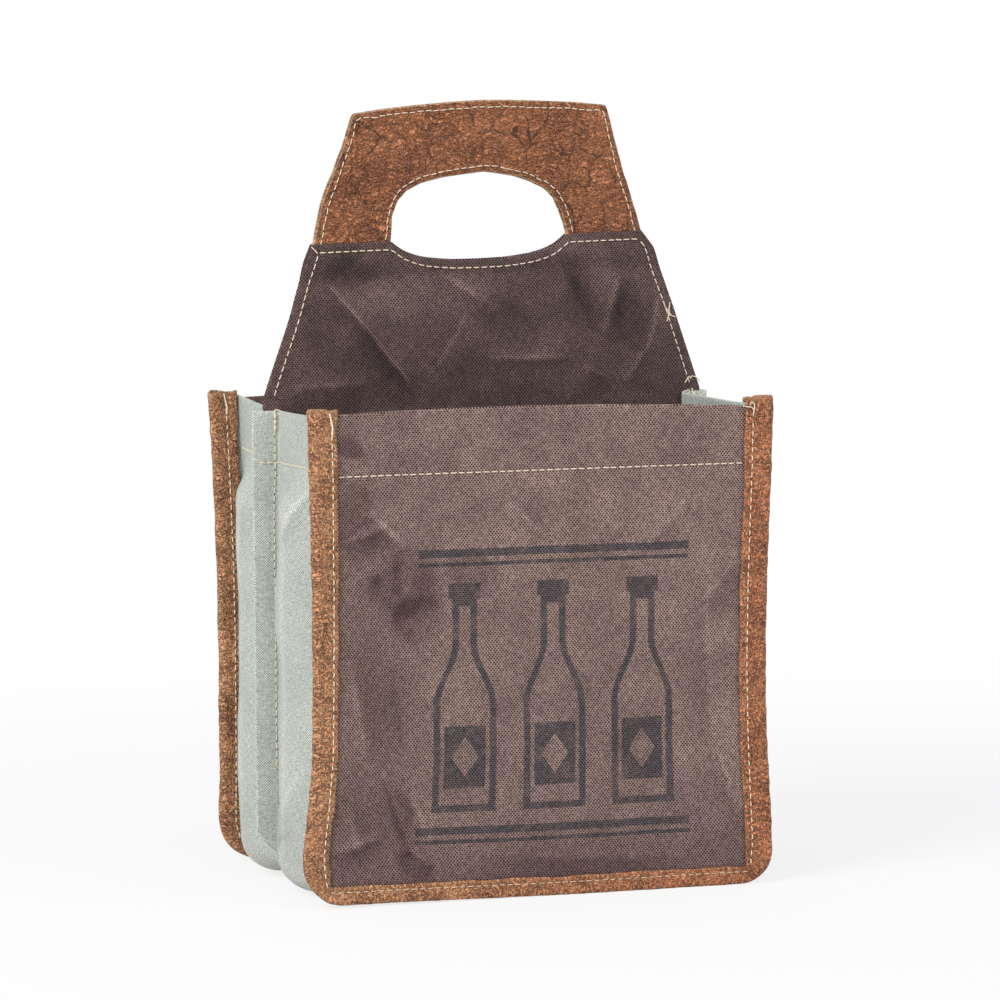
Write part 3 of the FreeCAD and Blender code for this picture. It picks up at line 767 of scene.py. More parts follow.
def settled(points):
    """Points of the bag where they come to rest. The seams draw in; the middle of each side doesn't."""
    x, y, z = np.moveaxis(np.array(points, float), -1, 0)
    front, back, right = (np.interp(z, WAIST_HEIGHTS, shares)
                          for shares in (LEFT_WAIST, LEFT_BACK_WAIST, RIGHT_WAIST))
    waist = np.where(x < 0, np.where(y < 0, front, back), right)
    near_seam = np.clip(np.abs(y) / BINDING_PLANE, 0, 1) ** 2
    front_share, back_share = between(-y, 0, BINDING_PLANE), between(y, 0, BINDING_PLANE)
    right_middle = between(x, *DRAW_ACROSS) * between(z, *DRAW_HEIGHTS) * (1 - near_seam)
    out_of_turn = np.clip((x - TURN_AXIS_OUT) / CORNER, 0, 1)
    push = RIGHT_CORNER_PUSH * out_of_turn * np.clip((CORNER - z) / CORNER, 0, 1) * front_share
    lift = BACK_CORNER_LIFT * back_share * between(np.abs(x), *BACK_LIFT_ACROSS)
    lift = lift + FRONT_LEFT_LIFT * front_share * between(-x, *FRONT_LIFT_ACROSS)
    return np.stack([
        x * (1 + (waist - 1) * near_seam) + push - RIGHT_DRAW * right_middle,
        y * np.interp(z, LEAN_HEIGHTS, LEAN_SHARES),
        z + lift * between(z, *LIFT_HEIGHTS) - PUSH_DROP * push,
    ], axis=-1)


def carried(points):
    """Points of the carrying panel where they come to rest."""
    x, y, z = np.moveaxis(np.array(points, float), -1, 0)
    cheek = between(x, *CHEEK_ACROSS) * bell(z - CHEEK_HEIGHT, CHEEK_REACH)
    hang = np.interp(z, HANG_HEIGHTS, HANG_SHIFTS) - CHEEK_DRAW * cheek
    return np.stack([x + hang, y, z + HANG_TILT * x * between(z, *TILT_HEIGHTS)], axis=-1)


print("settle functions ready")

# %% [markdown]
# ## Stitches
# A stitch is a short length of thread whose two ends dive into the cloth. Each row is one mesh: the
# same small tube, set end to end along a line that lies on the sheet, each a little out of true.

# %% Stitch builder
STITCH_LENGTH = 3.0
STITCH_PITCH = 3.75
STITCH_RADIUS = 0.28
STITCH_RINGS = 7
STITCH_SIDES = 6
STITCH_REACH = STITCH_LENGTH * 0.4
TAIL_RADIUS = 0.26
TAIL_FINENESS = 6
HOLE_RADIUS = 0.3
HOLE_DEPTH, HOLE_STAND = 0.3, 0.06
STRAY_PLACE, STRAY_TURN = 0.12, 0.05
SHORTEST, LONGEST = 0.94, 1.04


def tube(points, radius, sides=STITCH_SIDES):
    """Vertices and faces of a closed tube along points; radius may differ from point to point."""
    points = np.asarray(points, float)
    radius = np.broadcast_to(radius, len(points))
    heading = unit(np.gradient(points, axis=0))
    helper = np.where(np.abs(heading[:, 2:3]) > 0.9, [[1.0, 0, 0]], [[0, 0, 1.0]])
    side = unit(np.cross(heading, helper))
    up = np.cross(side, heading)
    angle = np.arange(sides) * 2 * math.pi / sides
    ring = np.cos(angle)[None, :, None] * side[:, None] + np.sin(angle)[None, :, None] * up[:, None]
    vertices = (points[:, None] + ring * radius[:, None, None]).reshape(-1, 3)
    faces = []
    for station in range(len(points) - 1):
        for corner in range(sides):
            first = station * sides + corner
            second = station * sides + (corner + 1) % sides
            faces.append((first, second, second + sides, first + sides))
    last = (len(points) - 1) * sides
    faces.append(tuple(range(sides))[::-1])
    faces.append(tuple(range(last, last + sides)))
    return vertices, faces


class Sewing:
    """Collects the thread of one piece, to become one mesh."""

    def __init__(self, seed):
        self.vertices, self.faces, self.dark = [], [], []
        self.count = self.stitches = 0
        self.random = np.random.default_rng(seed)
        along = np.linspace(-1, 1, STITCH_RINGS)
        lift = STITCH_RADIUS * (1.5 - 2.6 * along**4)
        line = np.stack([along * STITCH_LENGTH / 2, np.zeros(STITCH_RINGS), lift], axis=1)
        self.shape, self.shape_faces = tube(line, STITCH_RADIUS * (1 - 0.45 * along**6))

    def add(self, vertices, faces, dark=0):
        self.vertices.append(vertices)
        self.dark.append(np.full(len(vertices), float(dark)))
        self.faces.extend(tuple(self.count + corner for corner in face) for face in faces)
        self.count += len(vertices)

    def row(self, points, normals, pitch=STITCH_PITCH, thickness=1.0, holes=False, sunk=1.0):
        """Stitches along a line of points, with or without a dark peg painting the shadow in each needle
        hole; normals point out of the cloth.
        """
        travel = travelled(points)
        number = int(travel[-1] / pitch)
        spare = travel[-1] - number * pitch
        for stitch in range(number):
            middle = spare / 2 + (stitch + 0.5) * pitch + self.random.uniform(-STRAY_PLACE, STRAY_PLACE)
            places = middle + np.array([-1, 0, 1]) * STITCH_REACH
            behind, here, ahead = points_at(places, travel, points)
            heading = unit(ahead - behind)
            normal = points_at(middle, travel, normals)
            normal = unit(normal - heading * (normal @ heading))
            heading = unit(heading + np.cross(normal, heading) * self.random.normal(0, STRAY_TURN))
            stretch = sunk * pitch / STITCH_PITCH * self.random.uniform(SHORTEST, LONGEST)
            shape = self.shape * [stretch, thickness, thickness]
            turn = np.stack([heading, np.cross(normal, heading), normal])
            self.add(here + shape @ turn, self.shape_faces)
            self.stitches += 1
            # A short dark tube stands in each needle hole: a painted shadow of the open hole.
            if holes:
                hole = here + heading * pitch / 2
                ends = [hole - normal * HOLE_DEPTH, hole + normal * HOLE_STAND]
                self.add(*tube(ends, HOLE_RADIUS), dark=1)

    def tail(self, points, radius=TAIL_RADIUS):
        """A loose end of thread through points."""
        share = np.linspace(0, 1, len(points))
        fine = np.linspace(0, 1, TAIL_FINENESS * len(points))
        self.add(*tube(eased(points_at(fine, share, points), 3), radius))

    def piece(self, name):
        vertices = np.concatenate(self.vertices)
        marks = {"flat": vertices.copy(), "crease": np.concatenate(self.dark)}
        print(name, self.stitches, "stitches")
        return new_piece(name, vertices, self.faces, thread, marks)


print("stitch builder ready")

# %% [markdown]
# A row is drawn on the flat cut and then laid on the sheet's surface. Where the surface leans is found by
# nudging the place a little both ways.

# %% Lines on a surface
LINE_SPACING = 0.8
NUDGE = 0.4


def line_on(surface, route, side, lift=CANVAS / 2):
    """Points and outward normals along a route drawn on a surface's flat cut."""
    travel = travelled(np.asarray(route, float))
    u, v = parts_at(evenly(0, travel[-1], LINE_SPACING), travel, route)
    slope_u = surface(u + NUDGE, v) - surface(u - NUDGE, v)
    slope_v = surface(u, v + NUDGE) - surface(u, v - NUDGE)
    normals = unit(np.cross(slope_v, slope_u)) * side
    return surface(u, v) + normals * lift, normals


print("lines on surfaces ready")

# %% [markdown]
# ## Creases
# Waxed canvas keeps every fold it has had. A crease is a short line on the flat cut. It lifts the cloth in
# a small ridge with a pale worn top. A faint painted light lies on one hand of it and painted shade on the
# other, for the lit and the shaded face of the fold; a crease with negative paleness is a painted shade
# line.
# A broad stain fades out slowly; a small one has an edge, and is uneven inside it. Some broad stains are
# painted shade, and some pale ones painted light.

# %% Crease function
CREASE_WANDER = 1.2
STAIN_WANDER = 6
BROAD_STAIN = 18.0


def crease_marks(across, along, creases, stains_light_and_shade=()):
    """Lift and tone left by creases, each (from, to, width, lift, paleness, dark), and by spots.

    Paleness is a rubbed top, with a faint painted light beside it on the hand away from the dark; where
    negative, it is a painted shade line. The dark is painted shade for the fold's shaded face. It lies on
    the crease's right going from start to end, or on its left where it is negative. Spots darken, or pale
    where their depth is negative; some of them are painted shade and painted light.
    """
    lift = np.zeros(np.shape(across))
    tone = np.zeros(np.shape(across))
    for (start_x, start_z), (end_x, end_z), width, height, wear_and_highlight, dark in creases:
        run_x, run_z = end_x - start_x, end_z - start_z
        from_x, from_z = across - start_x, along - start_z
        share = np.clip((from_x * run_x + from_z * run_z) / (run_x**2 + run_z**2), 0, 1)
        wander = CREASE_WANDER * lumps(across, along, 14, 7) * share
        distance = np.hypot(from_x - share * run_x, from_z - share * run_z) + wander
        right_hand = (from_x * run_z - from_z * run_x) / math.hypot(run_x, run_z) + wander
        fade = np.sqrt(4 * share * (1 - share))
        ridge = np.hypot(distance, 0.5 * width) - 0.5 * width
        lift += height * fade * np.exp(-ridge / (3 * width))
        # Beside the rubbed pale top lies a faint painted light on one hand and painted shade on the other.
        beside = between(right_hand * math.copysign(1, dark), -0.3 * width, 0.7 * width)
        tone += wear_and_highlight * fade * bell(distance, 0.5 * width)
        tone += 0.2 * wear_and_highlight * fade * (1 - beside) * bell(distance, 3 * width)
        tone -= abs(dark) * fade * beside * bell(distance, 4 * width)
    # Spots: some are stains, some broad ones are painted shade, and pale ones are painted light.
    for (middle_x, middle_z), (reach_x, reach_z), depth in stains_light_and_shade:
        uneven_x = across - middle_x + STAIN_WANDER * lumps(across, along, 13, 8)
        uneven_z = along - middle_z + STAIN_WANDER * lumps(across, along, 13, 9)
        spread = bell(uneven_x, reach_x) * bell(uneven_z, reach_z)
        if max(reach_x, reach_z) < BROAD_STAIN and depth > 0:
            spread = between(spread, 0.12, 0.62) * (0.82 + 0.36 * lumps(across, along, 5, 10))
        tone -= depth * spread
    return lift, tone


print("crease function ready")

# %% [markdown]
# ## Front and back walls
# Each wall is one cut of canvas. Its top 28 mm is turned in and sewn down as a hem, so the rim is a fold.
# The cut is drawn as a function from flat millimetres to space, which both the mesh and the hem's
# stitches use. Slow lumps keep the cloth from looking like board, and fade out at the sewn edges.

# %% Wall sizes
HEM_DEPTH = 28.0
HEM_LINE = RIM - HEM_DEPTH
HEM_FOLD = 0.53 * CANVAS
HEM_TURN = math.pi * HEM_FOLD
HEM_HALF_WIDTH = 92.0
HEM_ROW_IN = 4
HEM_GROOVE = 0.4
GROOVE_REACH = 1.6
HEM_STIFFNESS = 0.55
SEAM_FREE = 16
FOOT_FREE = 26
LEG_HEIGHTS = [25, 70, 150, 222]
LEG_WIDTHS = {-1: [10.6, 10.8, 11.4, 12.8], 1: [12.6, 13.0, 13.0, 13.2]}
FOOT_LEG_WIDTH = 8.2
LEG_WIDTH = LEG_WIDTHS[1][-1]
WALL_FACE = -panel_low[1] - CANVAS / 2
WALL_SPACING = 1.35
WALL_SWELL = [(1.7, 58, 1), (0.75, 24, 1), (0.16, 8, 1)]
RIM_MIDDLE_RISE = 0.9
RIM_SLOPE = 0.0089
RIM_SAG = 0.000238
BACK_RIM_DROP = 2.3
FRONT_CREASES = [
    ((-97, 162), (-74, 171), 2.4, 1.0, 0.6, 0.35),
    ((-84, 177), (-66, 160), 2.4, 0.9, 0.5, 0.4),
    ((-16, 178), (0, 164), 2.4, 0.8, 0.45, -0.2),
    ((48, 156), (70, 177), 3.0, 0.9, 0.4, 0.2),
    ((78, 130), (94, 148), 2.4, 1.0, 0.5, 0.35),
    ((79, 132), (84, 64), 2.6, 1.1, 0.25, 0.4),
    ((85, 66), (95, 30), 2.6, 1.0, 0.3, 0.4),
    ((-75, 54), (-61, 19), 2.6, -1.6, -0.45, -0.15),
    ((-66, 60), (-52, 24), 3.0, 1.0, 0.3, 0.2),
    ((-98, 24), (-75, 31), 2.4, 1.2, 0.6, 0.4),
    ((-93, 46), (-84, 24), 2.4, 1.0, 0.4, -0.3),
    ((-93, 112), (-84, 62), 3.2, 1.0, 0.3, -0.3),
    ((-72, 106), (-67, 66), 2.8, -1.2, -0.4, 0.15),
    ((-30, 20), (70, 15), 3.0, 0.8, 0.2, 0.3),
]
# Stains, and broad darkening towards the foot and the lower left that is partly stain and partly painted
# shade of the light falling off downwards.
FRONT_STAINS_AND_SHADE = [
    ((-66, 142), (17, 14), 0.75),
    ((-34, 147), (10, 7), 0.6),
    ((-62, 128), (10, 9), 0.5),
    ((-92, 172), (9, 16), 0.6),
    ((-93, 207), (7, 8), 0.75),
    ((-82, 118), (26, 60), 0.36),
    ((-84, 46), (26, 34), 0.3),
    ((-66, 42), (3, 9), 0.35),
    ((-63, 18), (7, 6), 0.5),
    ((0, 8), (150, 24), 0.62),
    ((20, 95), (60, 40), 0.12),
    ((0, 208), (220, 16), 0.12),
    ((92, 110), (14, 80), -0.12),
]
BACK_CREASES = [
    ((-70, 60), (-30, 35), 3.5, 0.7, 0.4, 0.3),
    ((20, 150), (75, 120), 3.5, 0.6, 0.4, 0.3),
    ((40, 40), (80, 70), 3.0, -0.8, -0.3, 0.2),
    ((-88, 170), (-60, 120), 3.0, 0.9, 0.4, -0.3),
]
BACK_STAINS = [((30, 120), (20, 14), 0.6), ((-60, 40), (14, 10), 0.5)]
print(f"hem line at {HEM_LINE:.1f}")

# %% [markdown]
# The face, the fold at the rim and the hem inside are one function of the distance along the cloth.

# %% Walls
def rim_height(across, side):
    """The rim sags a little to both ends and more to the right, and the back one stands lower."""
    drop = BACK_RIM_DROP if side > 0 else 0
    return RIM + RIM_MIDDLE_RISE - RIM_SLOPE * across - RIM_SAG * across**2 - drop


def wall_half_width(along):
    round_part = CORNER - PANEL_FOOT
    drop = np.clip(CORNER - along, 0, round_part)
    outer = TURN_AXIS_OUT + np.sqrt(round_part**2 - drop**2)
    return outer + (HEM_HALF_WIDTH - outer) * between(along, RIM - 1, RIM + 1.5)


class Wall(Pair):
    """One wall's cloth: up the face, over the rim and down inside as the hem."""

    def __init__(self, side, seed, creases, stains_light_and_shade):
        super().__init__(side, seed)
        self.creases = creases
        self.stains_light_and_shade = stains_light_and_shade

    def relief(self, across, height):
        from_seam = HALF_WIDTH - LEG_WIDTH - np.abs(across)
        free = between(from_seam, 0, SEAM_FREE) * between(height, FOOT_LEG_WIDTH, FOOT_FREE)
        slack = 1 - HEM_STIFFNESS * between(height, HEM_LINE - 8, HEM_LINE + 8)
        swell = uneven(across, height, WALL_SWELL, self.seed)
        lift, tone = crease_marks(across, height, self.creases, self.stains_light_and_shade)
        groove = HEM_GROOVE * bell(height - HEM_LINE, GROOVE_REACH)
        return free * (swell * slack + lift - groove), tone

    def place(self, across, along):
        """Place in space and paleness at a place on the flat cut."""
        across, along = np.broadcast_arrays(np.asarray(across, float), along)
        straight = rim_height(across, self.side) - CANVAS / 2 - HEM_FOLD
        angle = np.clip((along - straight) / HEM_FOLD, 0, math.pi)
        beyond = np.maximum(along - straight - HEM_TURN, 0)
        height = np.minimum(along, straight) + HEM_FOLD * np.sin(angle) - beyond
        lift, pale = self.relief(across, height)
        depth = WALL_FACE + lift - HEM_FOLD * (1 - np.cos(angle))
        return settled(np.stack([across, self.side * depth, height], axis=-1)), pale

    def surface(self, across, along):
        return self.place(across, along)[0]

    def make(self, name, node, material):
        straight = RIM - CANVAS / 2 - HEM_FOLD
        rows = np.concatenate([
            evenly(PANEL_FOOT + CANVAS / 4, straight - 0.2, WALL_SPACING),
            straight + np.linspace(0.15, 0.85, 5) * HEM_TURN,
            straight + HEM_TURN + evenly(0.3, HEM_DEPTH, 2),
        ])
        share = np.linspace(-1, 1, int(2 * HALF_WIDTH / WALL_SPACING))
        across = share[None, :] * wall_half_width(rows)[:, None]
        along = rows[:, None] + (rim_height(across, self.side) - RIM) * between(rows, 100, RIM - 2)[:, None]
        points, pale = self.place(across, along)
        flat = np.stack([across, along], axis=-1)
        piece = sheet_piece(name, points, flat, CANVAS, material, pale, flip=self.side)
        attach(piece, "bag")
        cut = (2 * PANEL_HALF_WIDTH, RIM - PANEL_FOOT + HEM_DEPTH)
        dress([node], cut)

    def hem_row(self, name, seed):
        sewing = Sewing(seed)
        seen = [hand * (HALF_WIDTH - np.interp(HEM_LINE, LEG_HEIGHTS, LEG_WIDTHS[hand])) for hand in (-1, 1)]
        hidden = [hand * (HEM_HALF_WIDTH - HEM_ROW_IN) for hand in (-1, 1)]
        for ends, face, lift in ((seen, self.side, CANVAS / 2), (hidden, -self.side, CANVAS * 1.6)):
            sewing.row(*line_on(self.surface, [(end, HEM_LINE) for end in ends], face, lift))
        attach(sewing.piece(name), "bag")


front_wall = Wall(-1, 11, FRONT_CREASES, FRONT_STAINS_AND_SHADE)
back_wall = Wall(1, 21, BACK_CREASES, BACK_STAINS)
front_wall.make("front_wall_cloth", "front_panel", panel_canvas)
back_wall.make("back_wall_cloth", "back_panel", plain_canvas)
front_wall.hem_row("front_hem_stitches", 31)
back_wall.hem_row("back_hem_stitches", 32)

# %% [markdown]
# ## Pleated sides
# The most skilful piece of the carrier. A side is one band of canvas whose section is a flange in the
# seam, a swelling lobe, a pleat that stands out as a fin, and the same again in mirror image. The fin
# holds the edge of the carrying panel and is sewn shut down to its knot. At the rim the band is drawn
# nearly flat by its hem, and below that the lobes swell. At the foot it turns under the bag.

# %% Band section
FLANGE_DEPTH = gusset_high[1] - CANVAS / 2
ROOT_OUT, RIM_ROOT_OUT, ROOT_RADIUS = 93.5, 95.8, 1.2
FULL_PEAK, RIM_PEAK = 113.8, 99.6
LOBE_DEPTH, FOOT_LOBE_DEPTH, LOBE_RADIUS = 32.0, 42.0, 40.0
PLEAT_OUT, PLEAT_EDGE, PLEAT_RADIUS = 99.0, 111.4, 1.5
SHORT_FIN = 1.6
FIN_HALF_GAP = 1.35
FOOT_GAP_DRAW = 0.75
FIN_TIP_RADIUS = 0.55
FLANGE_POINTS, BEND_POINTS, LOBE_POINTS, FIN_POINTS, TIP_POINTS = 6, 6, 36, 9, 4


def round_corner(before, corner, after, radius, count):
    """Points of a rounded corner between two straight runs."""
    arriving, leaving = unit(corner - before), unit(after - corner)
    half_turn = math.acos(float(np.clip(arriving @ leaving, -1, 1))) / 2
    room = 0.6 * min(np.linalg.norm(corner - before), np.linalg.norm(after - corner))
    reach = min(radius * math.tan(half_turn), room)
    share = np.linspace(0, 1, count)[:, None]
    weights = (1 - share) ** 2, 2 * share * (1 - share) * math.cos(half_turn), share**2
    pulls = corner - arriving * reach, corner, corner + leaving * reach
    return sum(weight * pull for weight, pull in zip(weights, pulls)) / sum(weights)


def inside(line, count):
    """Evenly spaced points along a line, without its two ends."""
    travel = travelled(line)
    return points_at(np.linspace(0, travel[-1], count + 2)[1:-1], travel, line)


def band_section(swell, fin, gap, foot=0.0):
    """Half of the band's section as (out, depth), from the seam to the fin's fold."""
    edge = PLEAT_OUT + SHORT_FIN + (PLEAT_EDGE - PLEAT_OUT - SHORT_FIN) * fin
    tip = min(gap, FIN_TIP_RADIUS)
    seam, root, peak, pleat, shoulder, fold = np.array([
        (PANEL_HALF_WIDTH, -FLANGE_DEPTH),
        (RIM_ROOT_OUT + (ROOT_OUT - RIM_ROOT_OUT) * swell, -FLANGE_DEPTH),
        (RIM_PEAK + (FULL_PEAK - RIM_PEAK) * swell, -LOBE_DEPTH - (FOOT_LOBE_DEPTH - LOBE_DEPTH) * foot),
        (PLEAT_OUT, -gap),
        (PLEAT_OUT + 0.6 * (edge - PLEAT_OUT), -gap),
        (edge - tip, -tip),
    ])
    root_bend = round_corner(seam, root, peak, ROOT_RADIUS, BEND_POINTS)
    pleat_bend = round_corner(peak, pleat, shoulder, PLEAT_RADIUS, BEND_POINTS)
    peak_bend = round_corner(root, peak, pleat, LOBE_RADIUS, LOBE_POINTS)
    lobe = np.concatenate([root_bend[-1:], peak_bend, pleat_bend[:1]])
    angle = np.linspace(0, math.pi / 2, TIP_POINTS)
    return np.concatenate([
        np.linspace(seam, root_bend[0], FLANGE_POINTS + 1)[:-1],
        root_bend,
        inside(lobe, LOBE_POINTS),
        pleat_bend,
        inside(np.stack([pleat_bend[-1], shoulder, fold]), FIN_POINTS),
        np.stack([edge - tip + tip * np.sin(angle), -tip * np.cos(angle)], axis=1),
    ])


SECTION_POINTS = len(band_section(1, 1, FIN_HALF_GAP))
print("points across half a band:", SECTION_POINTS)

# %% [markdown]
# The band is built row by row, from the rim down, and then round a quarter turn at the foot. Its wrinkles
# are lumps along its own normals, strongest on the lobes. A column's number from the nearer seam says
# what it is part of.

# %% Band columns
LOBE_START = FLANGE_POINTS + BEND_POINTS
LOBE_END = LOBE_START + LOBE_POINTS
PEAK_COLUMN = LOBE_START + 0.57 * LOBE_POINTS
FOLD_COLUMN = SECTION_POINTS - 1
BAND_COLUMNS = 2 * SECTION_POINTS - 1
FROM_SEAM = np.minimum(np.arange(BAND_COLUMNS), np.arange(BAND_COLUMNS)[::-1])
PAST_ROOT = between(FROM_SEAM, LOBE_START - 3, LOBE_START + 6)
BEFORE_FIN = between(-FROM_SEAM, -LOBE_END - 2, -LOBE_END + 5)
ON_LOBE = PAST_ROOT * BEFORE_FIN
FOOT_RISE = 0.06
SHALLOW = 1 - FOOT_RISE * between(FROM_SEAM, LOBE_START - 2, LOBE_START + 6)
BAND_SPACING = 1.4
BAND_RIM = RIM - 1.8
TURN_ROWS = 16
TURN_REACH = (FULL_PEAK - TURN_AXIS_OUT) * 0.6
SWELL_FROM, SWELL_FULL = 194.0, 172.0
FIN_SLANT_FROM, FIN_SLANT_TO = 25.0, 12.0
RIM_RISE_FROM = 150
RIM_DEPTHS = [-72, -30, -4, 0, 4, 72]
RIM_OFFSETS = {-1: [-0.7, -1.5, -1.9, -1.9, -1.5, 0.1], 1: [0.8, 0.4, 0.6, 1.4, 1.4, -1.0]}
SIDE_HEM_LINE = HEM_LINE + 1.9
SIDE_WRINKLES = [(1.3, 30, 0.7), (0.55, 12, 0.8)]
RIM_WAVE, RIM_WAVE_LENGTH = 0.25, 26
# Painted light on the lobes' turn at the foot, and painted shade in the tuck under the fin's end.
FOOT_PAINTED_LIGHT = 0.45
TUCK_PAINTED_SHADE, TUCK_REACH = 0.9, 9
# Paleness along the fin's fold and the lobes' bulges, partly rubbing and partly painted highlight; painted
# highlight where each lobe turns in to the fin.
FOLD_WEAR_AND_HIGHLIGHT, BULGE_WEAR_AND_HIGHLIGHT, TURN_IN_HIGHLIGHT = (0.8, 0.9), (0.4, 1.8), (0.45, 2.5)
KNOT_HEIGHT = 52.7
FIN_STITCH_OUT = 101.8
START_ROWS, START_PITCH, START_THICKNESS = 8, 2.6, 2.0
SIDE_CREASES = [
    ((-80, 205), (-46, 162), 1.8, 2.2, 0.8, 0.4),
    ((-62, 60), (-42, 36), 3.0, 0.7, 0.4, 0.1),
    ((38, 176), (48, 130), 3.0, 0.6, 0.3, 0.1),
    ((54, 74), (40, 44), 3.0, 0.6, 0.4, 0.1),
    ((-56, 30), (-30, 22), 2.6, -0.7, -0.4, 0.1),
]
print("columns across a band:", BAND_COLUMNS)

# %% [markdown]
# The flat places are measured out from the fin's two roots, so that the fin growing shorter at its foot
# doesn't slant the weave of the lobes.

# %% Sides
def fin_gap(height):
    """Half the fin's thickness, less below the carrying panel that it holds."""
    return FIN_HALF_GAP - FOOT_GAP_DRAW * between(height, CARRY_FOOT - 4, CARRY_FOOT - 20)


class Side(Pair):
    """One pleated side."""

    def __init__(self, side, seed):
        super().__init__(side, seed)
        self.heights = evenly(BAND_RIM, CORNER, BAND_SPACING)
        turns = np.linspace(0, math.pi / 2, TURN_ROWS)[1:]
        self.turn = np.concatenate([np.zeros(len(self.heights)), turns])[:, None]
        self.level = np.concatenate([self.heights, np.full(len(turns), CORNER)])[:, None]
        self.along = self.level - self.turn * TURN_REACH
        points = self.band()
        width = travelled(points)
        width = width - width[:, FOLD_COLUMN, None]
        along = np.broadcast_to(self.along, width.shape)
        grids = points, width, *self.relief(width, along)
        points, width, shift, self.pale = (grid[:, ::side] for grid in grids)
        self.points = settled(points + grid_normals(points) * shift[..., None])
        self.normals = grid_normals(self.points)
        self.flat = np.stack([self.from_roots(width), along], axis=-1)

    def band(self):
        """The plain band, before it wrinkles and settles."""
        rows = []
        for height, angle in zip(self.along[:, 0], self.turn[:, 0]):
            fin = np.clip((height - FIN_SLANT_TO) / (FIN_SLANT_FROM - FIN_SLANT_TO), 0, 1)
            swell = between(height, SWELL_FROM, SWELL_FULL)
            rows.append(band_section(swell, fin, fin_gap(height), between(angle, 0, 1.3)))
        out, depth = np.moveaxis(mirrored(np.array(rows), [1, -1]), -1, 0)
        reach = out - TURN_AXIS_OUT
        near_rim = between(self.level, RIM_RISE_FROM, BAND_RIM)
        rise = np.interp(depth, RIM_DEPTHS, RIM_OFFSETS[self.side]) * near_rim
        x = TURN_AXIS_OUT + reach * np.cos(self.turn)
        z = np.maximum(self.level - reach * SHALLOW * np.sin(self.turn) + rise, LOWEST)
        return np.stack([self.side * x, depth, z], axis=-1)

    def relief(self, width, along):
        """How far each place stands off the plain band, and its paleness: crease marks, painted highlights
        on the folds, painted light on the lobes' turn at the foot, and painted shade in the tuck under the
        fin.
        """
        free = ON_LOBE * between(along, RIM, HEM_LINE - 10)
        lift, pale = crease_marks(width, along, SIDE_CREASES)
        wrinkle = uneven(width, along, SIDE_WRINKLES, self.seed)
        rim_wave = RIM_WAVE * lumps(width, along, RIM_WAVE_LENGTH, self.seed + 2) * ON_LOBE
        groove = HEM_GROOVE * bell(along - SIDE_HEM_LINE, GROOVE_REACH) * ON_LOBE
        # Painted light where the lobes turn under at the foot, and painted shade in the tuck under the fin's
        # end.
        tucked = bell(FROM_SEAM - FOLD_COLUMN, TUCK_REACH) * between(self.turn, 0.15, 0.6)
        wear_light_and_shade = FOOT_PAINTED_LIGHT * ON_LOBE * between(self.turn, 0.1, 0.8) * (1 - tucked) - TUCK_PAINTED_SHADE * tucked
        return free * (wrinkle + lift) + rim_wave - groove, free * pale + wear_light_and_shade + self.fold_lines(along)

    @staticmethod
    def fold_lines(along):
        """Paleness along the fin's fold and where each lobe bulges, partly rubbing and partly painted
        highlight, and painted highlight where each lobe turns in to the fin.
        """
        columns = FOLD_COLUMN, PEAK_COLUMN, LOBE_END - 2
        wear_and_highlights = FOLD_WEAR_AND_HIGHLIGHT, BULGE_WEAR_AND_HIGHLIGHT, TURN_IN_HIGHLIGHT
        fold, bulge, turn_in = (wear_and_highlight * bell(FROM_SEAM - column, reach)
                                for column, (wear_and_highlight, reach) in zip(columns, wear_and_highlights))
        return fold * between(along, 4, 14) + (bulge + turn_in) * between(along, SWELL_FROM, SWELL_FULL)

    @staticmethod
    def from_roots(width):
        flat = width.copy()
        halves = slice(None, SECTION_POINTS), slice(SECTION_POINTS, None)
        for half, root in zip(halves, (LOBE_END, -1 - LOBE_END)):
            flat[:, half] += (width[0, root] - width[:, root])[:, None]
        return flat

    def make(self, name, node):
        doubled = ON_LOBE * between(self.flat[..., 1], SIDE_HEM_LINE - 1.5, SIDE_HEM_LINE)
        piece = sheet_piece(name, self.points, self.flat, CANVAS, pale_canvas, self.pale, CANVAS * doubled)
        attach(piece, "bag")
        cut = (float(np.ptp(self.flat[..., 0])), RIM + HEM_DEPTH)
        dress([node], cut)

    def sew(self, name, seed):
        sewing = Sewing(seed)
        self.sew_hem(sewing)
        for step in (-1, 1):
            self.sew_fin(sewing, step)
        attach(sewing.piece(name), "bag")

    def sew_hem(self, sewing):
        """Rows on both faces of each lobe's hem; the inner ones keep clear of the seam and the fin."""
        row = int(np.argmin(np.abs(self.heights - SIDE_HEM_LINE)))
        first = slice(LOBE_START, FOLD_COLUMN - 1), slice(4, -12)
        second = slice(FOLD_COLUMN + 2, BAND_COLUMNS - LOBE_START), slice(12, -4)
        for part, clear in (first, second):
            points, lean = self.points[row, part], self.normals[row, part]
            sewing.row(points + lean * CANVAS / 2, lean)
            sewing.row((points - lean * CANVAS * 1.5)[clear], -lean[clear])

